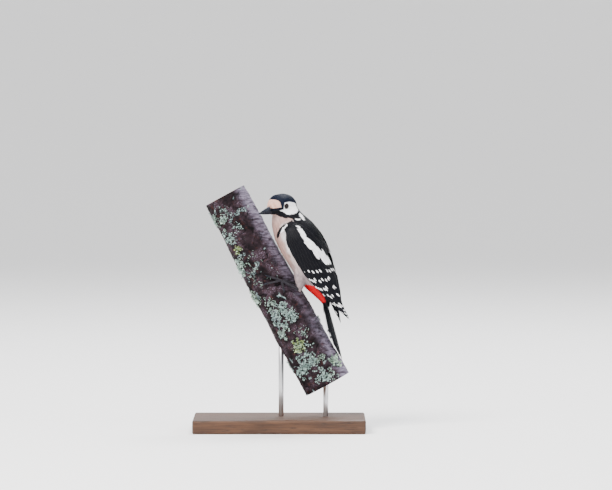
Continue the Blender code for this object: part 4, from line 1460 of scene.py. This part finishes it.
def plated(s, radius, plates, joints):
    """Radius along a toe: a saw of this many plates, 9% deep, and joints as cosine swellings."""
    saw = (s * plates) % 1.0
    return radius * (1 + 0.09 * (saw - 0.5) + 0.10 * np.cos(math.pi * joints * s) ** 8)


def toe_tube(turn, rise, side):
    """An arched toe from the root of all toes to its claw's root."""
    s = np.linspace(0, 1, 64)
    high = lift + TOE_ARCH * (1 - s + np.sin(math.pi * s)) - 0.12
    radius = plated(s, TOE_R * (1.18 - 0.22 * s), 13, 3) * ease((1.06 - s) / 0.08) ** 0.5
    return tube(on_bark(turn * s, rise * s, high, side), radius, up=np.array(LIMB_UP) * (1, side, 1))


def claw_tube(turn, rise, length, side):
    """A hook that goes on from the toe and comes down on the bark."""
    s = np.linspace(-0.12, 1, 26)
    ahead = 1 + (GAP + 0.5 + s * length * 0.8) / math.hypot(math.radians(turn) * PERCH_R, rise)
    high = lift * (1 - s) + CLAW_ARCH * np.sin(math.pi * np.clip(s, 0, 1)) + 0.25 * s
    radius = CLAW_R * (1 - 0.9 * np.clip(s, 0, 1) ** 1.3) * ease((s + 0.25) / 0.2)
    return tube(on_bark(turn * ahead, rise * ahead, high, side), radius, up=np.array(LIMB_UP) * (1, side, 1))


for name, side in SIDES.items():
    root, ankle = on_bark(0, 0, lift + TOE_ARCH, side), ANKLE * (1, side, 1)
    s = np.linspace(0, 1, 60)
    bow = np.sin(math.pi * s)[:, None] * np.array((0.6, 0, -0.5))
    path = ankle + (root - ankle) * (0.08 + 0.92 * s[:, None]) + bow
    leg = tube(path, plated(s, 1.75 - 0.25 * s, 11, 1), 18)
    toes = [toe_tube(turn, rise, side) for turn, rise, _ in TOES.values()]
    for toe, spans in TOES.items():
        points, faces = claw_tube(*spans, side)
        piece(f"hook_{toe}_{name}", room(points), faces, horn_finish, "claw", (f"claw_{toe}_{name}",))
    points, faces = joined([outwards(limb) for limb in (leg, *toes)])
    piece(f"scaled_foot_{name}", room(points), faces, leg_finish, "foot", (f"foot_{name}",))

# %% [markdown]
# ## Bark
# The trunk is old and rough: dark plates parted by cracks, with fine level wrinkles round it. The side
# turned to the sky is smoother, and is painted lighter and lilac for the sky light on it; a painted shadow
# of the bird darkens it below the feet. Both saw cuts show year rings. One grid makes it all: it starts in
# the middle of the lower cut, runs out, up the bark and back in over the upper cut. Noise read on the
# surface lifts the plates, and the same noise paints shade into the hollows.

# %% Bark net
BARK_ROWS, BARK_COLUMNS, CUT_ROWS = 380, 220, 9
SKY_TURN = math.radians(-25)  # the side turned to the sky, round from the bird
CRACK_DEPTH, CRACK_LEVEL = 1.15, 0.75
FOOT_AT, FOOT_REACH, FOOT_LIFT = -6.0, 16.0, 0.35  # where the bark stays low under the toes, and how low
SHADE_AT, SHADE_REACH, SHADE = -42.0, 40.0, 0.62

inward = np.linspace(0.06, 1, CUT_ROWS)
bark_heights = np.linspace(PERCH_BOTTOM, PERCH_TOP, BARK_ROWS)
ends = [np.full(CUT_ROWS, height) for height in (PERCH_BOTTOM, PERCH_TOP)]
heights = np.concatenate([ends[0], bark_heights, ends[1]])[:, None]
shares = np.concatenate([inward, np.ones(BARK_ROWS), inward[::-1]])[:, None]
angle_net, height_net = np.broadcast_arrays(circle(BARK_COLUMNS), heights)
smooth = trunk_point(angle_net, height_net, 0.0, shares)
wraps = np.stack([np.cos(angle_net) * 26, np.sin(angle_net) * 26, height_net], -1)
# the side lit by the sky: its bark is smoother, and the finish paints it lighter and lilac for the sky light
sky_lit_side = ease((np.cos(angle_net - SKY_TURN) - 0.25) / 0.6)
warped = wraps + 3.0 * np.stack([bumps(wraps / 9, seed) for seed in (31, 32, 33)], -1)
seams = ease(np.abs(bumps(warped / (6.5, 6.5, 4.6), 21)) / 0.16)
flakes = ease(np.abs(bumps(warped / (2.6, 2.6, 1.7), 28)) / 0.22)
plates = 0.62 * seams + 0.38 * flakes
wrinkles = bumps(wraps / (7.0, 7.0, 0.85), 22) * 0.12 + bumps(wraps / (9.0, 9.0, 2.6), 23) * 0.26
knots = 1.5 * np.maximum(bumps(wraps / 15, 24) - 0.35, 0) + 0.6 * bumps(wraps / 24, 25)
grit = 0.14 * bumps(wraps / 1.15, 26) + 0.08 * bumps(wraps / 0.55, 27)
rough = 1 - 0.72 * sky_lit_side
bark_lift = (plates - CRACK_LEVEL) * CRACK_DEPTH * rough + wrinkles * (0.8 + 0.6 * sky_lit_side) + knots + grit
near_foot = np.exp(-((height_net - FOOT_AT) / FOOT_REACH) ** 2) * (np.cos(angle_net) > 0)
bark_lift = np.where(near_foot > 0.3, np.minimum(bark_lift, FOOT_LIFT), bark_lift) * (shares == 1)
sawn = 0.18 * np.sin(smooth[..., 1] * 2.6 + 0.4 * np.sin(smooth[..., 2] * 0.5)) * (shares < 1)
bark_net = trunk_point(angle_net, height_net, bark_lift, shares) + sawn[..., None] * (1, 0, 0)
# painted shade: how deep each point lies in a crack, less on the smoother sky side; the finish darkens it
crack_shade = np.clip((0.85 - plates) * rough, 0, 1)
ring_mm = shares * PERCH_R * (1 + 0.05 * np.sin(2 * angle_net + 1) + 0.02 * np.sin(5 * angle_net))
# painted shadow: the bird's shadow darkens the sky-lit side below the feet, unevenly
shaded = 1 - SHADE * np.exp(-(((height_net - SHADE_AT) / SHADE_REACH) ** 2)) - 0.2 * bumps(wraps / 17, 34)
print("bark lifts", np.round([bark_lift.min(), bark_lift.max()], 2), "mm")

# %% [markdown]
# ## The bark's colours
# Depth of the cracks, turn to the sky, the bird's shadow, saw cuts and year rings are known on the net, and
# each point hands them to the finish, which paints shade into the cracks, sky light on the turned side and
# the shadow below the feet. Noise in a frame that stands along the trunk adds what is finer than the net.

# %% Bark finish
UPRIGHT = (0, math.radians(-CLIMB), 0)  # turns the room's frame so that the trunk stands upright in it
ALONG_TRUNK = (0, math.radians(90 - CLIMB), 0)


def sky_lit_bark(start, chips):
    """Bark painted lighter and lilac for the sky light on it, with level bands, and flecks where it has
    chipped off.
    """
    bands = start.noise(60.0, 5.0, 0.4, start.place((1.4, 1.4, 8), ALONG_TRUNK))
    lilac = bands.between(0.32, 0.66).blend((0.040, 0.030, 0.042), (0.22, 0.19, 0.26))
    return bands, (chips.between(0.44, 0.36) * 0.5).blend(lilac, (0.030, 0.020, 0.028))


def old_bark(start, chips, patches, here):
    """Purple-brown bark with rusty patches, and pale lilac flecks painted on as highlights of its flakes."""
    brown = patches.between(0.3, 0.7).blend((0.003, 0.0016, 0.0024), (0.024, 0.013, 0.017))
    rusty = start.noise(210.0, 4.0, place=here).between(0.56, 0.72) * 0.55
    # painted highlights: pale lilac flecks where the flakes of bark would catch the light
    flake_glints = chips.between(0.54, 0.66) * patches.between(0.46, 0.64) * 0.8
    return flake_glints.blend(rusty.blend(brown, (0.045, 0.013, 0.010)), (0.13, 0.105, 0.145))


def sawn_wood(start, patches):
    """Year rings, a darker heart, pores, and a dark rim of bark."""
    ring = start.attribute("ring")
    rings = start.math("SINE", (ring + patches * 2.0) * 3.6)
    timber = (rings * 0.35 + 0.5).blend((0.30, 0.17, 0.095), (0.46, 0.31, 0.19))
    heart = ring.between(13.0, 7.0).blend(timber, (0.24, 0.115, 0.065))
    pores = start.noise(1500.0, 2.0, place=start.place(turn=UPRIGHT))
    face = pores.between(0.62, 0.7).blend(heart, (0.16, 0.085, 0.05))
    return ring.between(24.2, 25.2).blend(face, (0.06, 0.03, 0.025))


def bark_links(start):
    """Old bark, painted lighter and lilac for the sky light on the side turned to the sky and darker in the
    bird's painted shadow, with painted shade in the hollows and crusts of mint lichen where noise stands
    high; the cuts show sawn wood."""
    crack_shade, sky, cut = start.attribute("crack_shade"), start.attribute("sky"), start.attribute("cut")
    here = start.place(turn=UPRIGHT)
    patches = start.noise(95.0, 5.0, 0.3, here)
    specks = start.noise(620.0, 4.0, place=here)
    chips = start.noise(1150.0, 4.0, place=here)
    bands, lilac = sky_lit_bark(start, chips)
    # painted sky light: the side turned to the sky is blended to the lighter lilac bark
    plate = (sky * 0.9).blend(old_bark(start, chips, patches, here), lilac)
    # painted shade: the cracks go nearly black
    crack_shaded = crack_shade.between(0.12, 0.55).blend(plate, (0.002, 0.0014, 0.002))
    crust_field = start.noise(70.0, 7.0, 0.8, here)
    crust = crust_field.between(0.615, 0.645) * specks.between(0.42, 0.54) * (1 - sky * 0.7)
    mint = start.noise(420.0, place=here).between(0.35, 0.65).blend((0.07, 0.11, 0.11), (0.28, 0.36, 0.36))
    return {
        "Base Color": cut.blend(crust.blend(crack_shaded, mint), sawn_wood(start, patches)),
        "Roughness": (1 - sky * (1 - cut)) * 0.2 + 0.62,
        "Bump": specks * 0.00035 + crust * 0.0004 + bands * 0.0002 * sky,
    }


bark_finish = finish("bark", {"Specular IOR Level": 0.1}, bark_links)
poles = (trunk_point(0.0, end, 0, 0.0) for end in (PERCH_BOTTOM, PERCH_TOP))
points, faces = capped(bark_net, *poles)
# the sky value is painted sky light times the bird's painted shadow; the cracks' value is painted shade
values = {"crack_shade": crack_shade, "sky": sky_lit_side * shaded, "cut": (shares < 1) + 0 * angle_net, "ring": ring_mm}
values = {key: np.append(net.ravel(), net.ravel()[[0, -1]]) for key, net in values.items()}
piece("bark", room(points), faces, bark_finish, "bark", ("perch",), layers=values)

# %% [markdown]
# ## Lichen
# Leafy lichen grows in colonies below the feet and down the trunk. Each colony holds sixteen tufts, and
# each tuft is a ring of lobes. Tufts stand thickest in a colony's middle. Scattering by numbers keeps the
# bare bark between colonies bare, which a mask of noise would not.

# %% Lobes in tufts, tufts in colonies
# Angle round the trunk, height, spread over the bark, number of lobes, their length, and share of yellow.
SHOWN_COLONIES = (
    (88, -42, 19, 300, 1.9, 0.1), (74, -38, 10, 120, 1.5, 0.1), (106, -26, 11, 130, 1.8, 0.2),
    (64, -50, 8, 80, 1.5, 0.1), (110, -62, 10, 130, 1.9, 0.2), (92, -84, 8, 140, 2.2, 0.7),
    (72, -92, 8, 60, 1.7, 0.1), (66, -70, 14, 80, 1.3, 0.2), (104, -106, 16, 300, 2.3, 0.1),
    (78, -124, 12, 160, 2.2, 0.1), (60, -104, 8, 60, 1.5, 0.3), (24, -117, 6, 160, 2.6, 0.3),
    (124, 88, 14, 180, 1.8, 0.2), (122, 66, 10, 110, 1.8, 0.1), (112, 50, 6, 70, 1.8, 0.9),
    (84, 72, 8, 40, 1.4, 0.1), (98, 98, 8, 50, 1.5, 0.1), (92, 30, 14, 60, 1.3, 0.2),
    (100, 4, 16, 80, 1.4, 0.2), (56, -130, 9, 70, 1.6, 0.2),
)
FAR_COLONIES = (
    (136, 30, 13, 230, 2.4, 0.2), (150, -10, 12, 200, 2.2, 0.3), (205, 60, 14, 240, 2.0, 0.1),
    (230, -30, 16, 320, 2.0, 0.1), (265, -95, 14, 270, 2.2, 0.4), (290, 30, 9, 110, 1.8, 0.1),
    (190, -100, 14, 270, 2.2, 0.2), (330, -70, 7, 80, 1.9, 0.1), (170, 95, 9, 120, 1.9, 0.1),
)
TUFTS = 16  # in each colony


def tufted(colonies):
    """Where each lobe starts: its colony's row, its place in its tuft, and its size.
    Tufts are scattered over a colony, the densest in its middle; lobes ring each tuft."""
    each = np.array(colonies, float)
    colony = np.repeat(np.arange(len(each)), each[:, 3].astype(int))
    tuft_out = np.sqrt(DICE.random((len(each), TUFTS))) * (0.5 + 0.5 * DICE.random((len(each), TUFTS)))
    tuft_turn = DICE.random((len(each), TUFTS)) * math.tau
    tuft_size = 0.6 + 0.8 * DICE.random((len(each), TUFTS))
    tuft = (DICE.random(len(colony)) ** 1.5 * TUFTS).astype(int)
    at_angle, at_height, spread, _, size, yellow = each[colony].T
    out, turn = spread * tuft_out[colony, tuft], tuft_turn[colony, tuft]
    size = size * tuft_size[colony, tuft]
    where = DICE.random(len(colony)) * math.tau
    ring = size * (0.2 + 1.0 * DICE.random(len(colony)))
    angle = np.radians(at_angle) + (out * np.sin(turn) + ring * np.sin(where)) / PERCH_R
    height = at_height + out * np.cos(turn) * 1.2 + ring * np.cos(where)
    return angle, np.clip(height, PERCH_BOTTOM + 2, PERCH_TOP - 2), where, ring, size, yellow


print("lobes of lichen:", sum(row[3] for row in SHOWN_COLONIES + FAR_COLONIES))

# %% [markdown]
# ## Lobes of lichen
# A lobe is a blade like a feather's, but short, curled up off the bark, notched, and ruffled by a sine
# along its rim. Each has its own shade of grey-green, and the colony says how far it goes to yellow.

# %% Lobes as blades
GREY_LICHEN, OLIVE_LICHEN = np.array(((0.43, 0.58, 0.575), (0.40, 0.50, 0.18)))


def lobes(colonies, rows=5, columns=5):
    """Nets of all lobes: root + along * length * s + across * x * half width, lifted by curl and ruffle."""
    angle, height, where, ring, size, yellow = tufted(colonies)
    count = len(angle)
    column = (angle / math.tau * BARK_COLUMNS).round().astype(int) % BARK_COLUMNS
    ground = bark_lift[CUT_ROWS:-CUT_ROWS][np.searchsorted(bark_heights, height), column]
    heading = where + (DICE.random(count) - 0.5) * 1.8
    length = size * (0.55 + 0.7 * DICE.random(count))
    steep = np.clip(1.15 - ring / size * 0.6, 0.15, 1) * (0.5 + 0.7 * DICE.random(count))
    home = on_map(angle / math.tau % 1, (height - PERCH_BOTTOM) / (PERCH_TOP - PERCH_BOTTOM))
    s = np.linspace(0, 1, rows)[None, :, None]
    x = BLADE_X[columns][None, None, :]
    nets = (angle, height, ground, heading, length, steep)
    angle, height, ground, heading, length, steep = (values[:, None, None] for values in nets)
    fork = 0.5 + 0.5 * np.cos(math.tau * (1.4 * s + DICE.random((count, 1, 1))))
    half = (0.30 + 0.22 * DICE.random((count, 1, 1))) * length * (0.3 + 0.7 * ease(s / 0.5))
    half = half * (0.8 + 0.2 * fork) * np.sqrt(1 - 0.62 * np.clip(s / 0.55 - 0.82, 0, 1) ** 2)
    notched = DICE.random((count, 1, 1)) < 0.5
    notch = 0.10 * length * (1 - np.abs(x)) ** 2 * ease((s - 0.6) / 0.4) * notched
    notch = notch + 0.20 * length * x**2 * ease((s - 0.2) / 0.8)
    forward, sideways = length * s * (1 - 0.35 * steep * s) - notch, x * half
    ruffle = 0.20 * length * np.sin(7 * s + 5 * x + 9 * heading) * np.abs(x) * s
    high = ground + 0.1 + steep * length * (0.85 * s**1.3) + 0.35 * half * x**2 + ruffle

    def shape(extra):
        """Each lobe's run forwards and sideways, turned to its heading and laid on the trunk."""
        up_trunk = forward * np.cos(heading) - sideways * np.sin(heading)
        round_trunk = forward * np.sin(heading) + sideways * np.cos(heading)
        return trunk_point(angle + round_trunk / PERCH_R, height + up_trunk, high + extra)

    yellowed = (yellow * (0.5 + DICE.random(count)))[:, None].clip(0, 1)
    tint = GREY_LICHEN + yellowed * (OLIVE_LICHEN - GREY_LICHEN)
    tint = tint * (0.62 + 0.75 * DICE.random((count, 1)))
    # painted shade: each lobe is nearly black at its root, deep in its tuft, and lightest at its tip
    return shape, per_blade(tint, forward) * (0.06 + 1.06 * s)[..., None], home


def lichen_links(start):
    """The points' colour over near-black, by a fine grain."""
    tone = start.attribute("tone", "Color")
    grain = start.noise(1400.0)
    return {"Base Color": (grain * 0.5 + 0.55).blend((0.02, 0.03, 0.025), tone), "Bump": grain * 0.00015}


lichen_finish = finish("lichen", {"Roughness": 0.9, "Specular IOR Level": 0.05}, lichen_links)
for name, colonies in {"shown": SHOWN_COLONIES, "far": FAR_COLONIES}.items():
    shape, tint, home = lobes(colonies)
    blades(f"lichen_{name}", shape, 0.14, "lichen", {"tone": tint}, home, look=lichen_finish)

# %% [markdown]
# ## Stand
# The base is a plain slab of walnut, and two steel rods hold the trunk. The slab's solid is already right,
# so it only gets a finish; the rods are turned again with more sides, to the same sizes.

# %% Walnut and steel
ROD_SIDES, ROD_BEVEL, ROD_END = 48, 0.0004, 0.86  # sides, metres of bevel, and share of the radius left


def walnut_links(start):
    """Grain = 0.07 sin(24 * wavy noise) + 0.8 * fine streaks + 0.2 * wavy noise, with dark pores."""
    wavy = start.noise(7.0, 3.0, 0.5, start.place((1.5, 9, 9)))
    fine = start.noise(4.0, 4.0, place=start.place((6, 240, 240)))
    pores = start.noise(3.0, 2.0, place=start.place((30, 420, 420)))
    grain = start.math("SINE", wavy * 24.0) * 0.07 + fine * 0.8 + wavy * 0.2
    tint = grain.between(0.2, 0.8).blend((0.024, 0.010, 0.005), (0.085, 0.038, 0.018))
    return {
        "Base Color": pores.between(0.62, 0.72).blend(tint, (0.014, 0.007, 0.004)),
        "Roughness": fine * 0.2 + 0.40,
        "Bump": pores.between(0.66, 0.6) * 0.00006,
    }


def steel_links(start):
    """Fine rings round the rod, as turning leaves them, in roughness and relief."""
    brushed = start.noise(180.0, place=start.place((1, 1, 60)))
    return {"Roughness": brushed * 0.22 + 0.22, "Bump": brushed * 0.00001}


walnut = finish("walnut", {"Specular IOR Level": 0.3}, walnut_links)
steel = finish("brushed_steel", {"Base Color": (0.55, 0.55, 0.56, 1.0), "Metallic": 1.0}, steel_links)
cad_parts["stand_base"].data.materials.clear()
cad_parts["stand_base"].data.materials.append(walnut)
for name in ("long", "short"):
    low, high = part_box(f"stand_rod_{name}")
    x, y = ((low + high) / 2)[:2]
    z = np.array((low[2], low[2] + ROD_BEVEL, high[2] - ROD_BEVEL, high[2]))[:, None]
    r = ((high[0] - low[0]) / 2) * np.array((ROD_END, 1, 1, ROD_END))[:, None]
    turn = circle(ROD_SIDES)
    rings = np.stack([x + r * np.cos(turn), y + r * np.sin(turn), z + 0 * turn], -1)
    points, faces = capped(rings, (x, y, low[2]), (x, y, high[2]))
    piece(f"rod_{name}", points, faces, steel, "stand_steel", (f"stand_rod_{name}",))

# %% [markdown]
# ## Studio
# The studio is one pale bowl: a level floor that sweeps up into a round wall, so that no edge shows behind
# the model from any side. Large soft lamps hang inside it. The camera stands five metres off with a long
# lens, almost level with the bird.

# %% Bowl, lamps and camera
FLOOR_R, WALL_R, WALL_LOW, WALL_HIGH, BOWL_SIDES = 5.0, 4.0, 6.0, 9.0, 96  # metres


def studio_links(start):
    """A matt wall, a little uneven."""
    return {"Roughness": start.noise(3.0) * 0.1 + 0.85}


sweep = np.linspace(0.1, math.pi / 2, 16)
flat_r = [0.001, *np.linspace(0.5, FLOOR_R, 10)]
bowl_r = np.concatenate([flat_r, FLOOR_R + WALL_R * np.sin(sweep), [FLOOR_R + WALL_R] * 2])[:, None]
bowl_z = np.concatenate([np.zeros(11), WALL_R - WALL_R * np.cos(sweep), [WALL_LOW, WALL_HIGH]])[:, None]
turn = circle(BOWL_SIDES)
bowl = np.stack([bowl_r * np.cos(turn), bowl_r * np.sin(turn), bowl_z + 0 * turn], -1)
bowl_faces = grid_faces(*bowl.shape[:2], ring=True)[:, ::-1]
studio = finish("studio", {"Base Color": (0.80, 0.79, 0.78, 1.0)}, studio_links)
floor = mesh_object("studio_floor", bowl.reshape(-1, 3), [bowl_faces], studio)

LAMPS = {  # place, width, watts, tint
    "key": ((-1.6, -2.2, 2.6), 1.6, 330.0, (1.0, 0.98, 0.96)),
    "fill": ((2.4, -1.8, 1.4), 1.8, 60.0, (0.94, 0.97, 1.0)),
    "top": ((0.5, 1.6, 3.0), 1.6, 170.0, (0.96, 0.97, 1.0)),
}
LAMPS_AIM = (0.02, 0.0, 0.19)


def aimed(made, at, target):
    """Turns a lamp or camera so that its -Z looks from its place to the target."""
    made.location = at
    run = unit(np.array(target) - np.array(at))
    made.rotation_euler = (math.acos(-run[2]), 0.0, math.atan2(-run[0], run[1]))
    bpy.context.scene.collection.objects.link(made)
    return made


for name, (at, width, watts, tint) in LAMPS.items():
    lamp = bpy.data.lights.new(name, "AREA")
    lamp.shape, lamp.size, lamp.energy, lamp.color = "DISK", width, watts, tint
    aimed(bpy.data.objects.new(name, lamp), at, LAMPS_AIM).visible_camera = False

world = bpy.data.worlds.new("soft_sky")
world.use_nodes = True
sky = world.node_tree.nodes["Background"].inputs
sky["Color"].default_value, sky["Strength"].default_value = (0.93, 0.96, 1.0, 1.0), 1.6
bpy.context.scene.world = world

CAMERA_TARGET = np.array((0.0310, -0.010, 0.2160))
CAMERA_OFF, CAMERA_RISE, FRAME_WIDTH = 5.0, math.radians(2.0), 0.710  # metres off, angle above, metres seen
camera = bpy.data.cameras.new("camera")
camera.lens = camera.sensor_width * CAMERA_OFF / FRAME_WIDTH
camera_at = CAMERA_TARGET + CAMERA_OFF * np.array((0.0, -math.cos(CAMERA_RISE), math.sin(CAMERA_RISE)))
bpy.context.scene.camera = aimed(bpy.data.objects.new("camera", camera), camera_at, CAMERA_TARGET)
print("lens", round(camera.lens), "mm, camera height", round(camera_at[2], 3), "m")
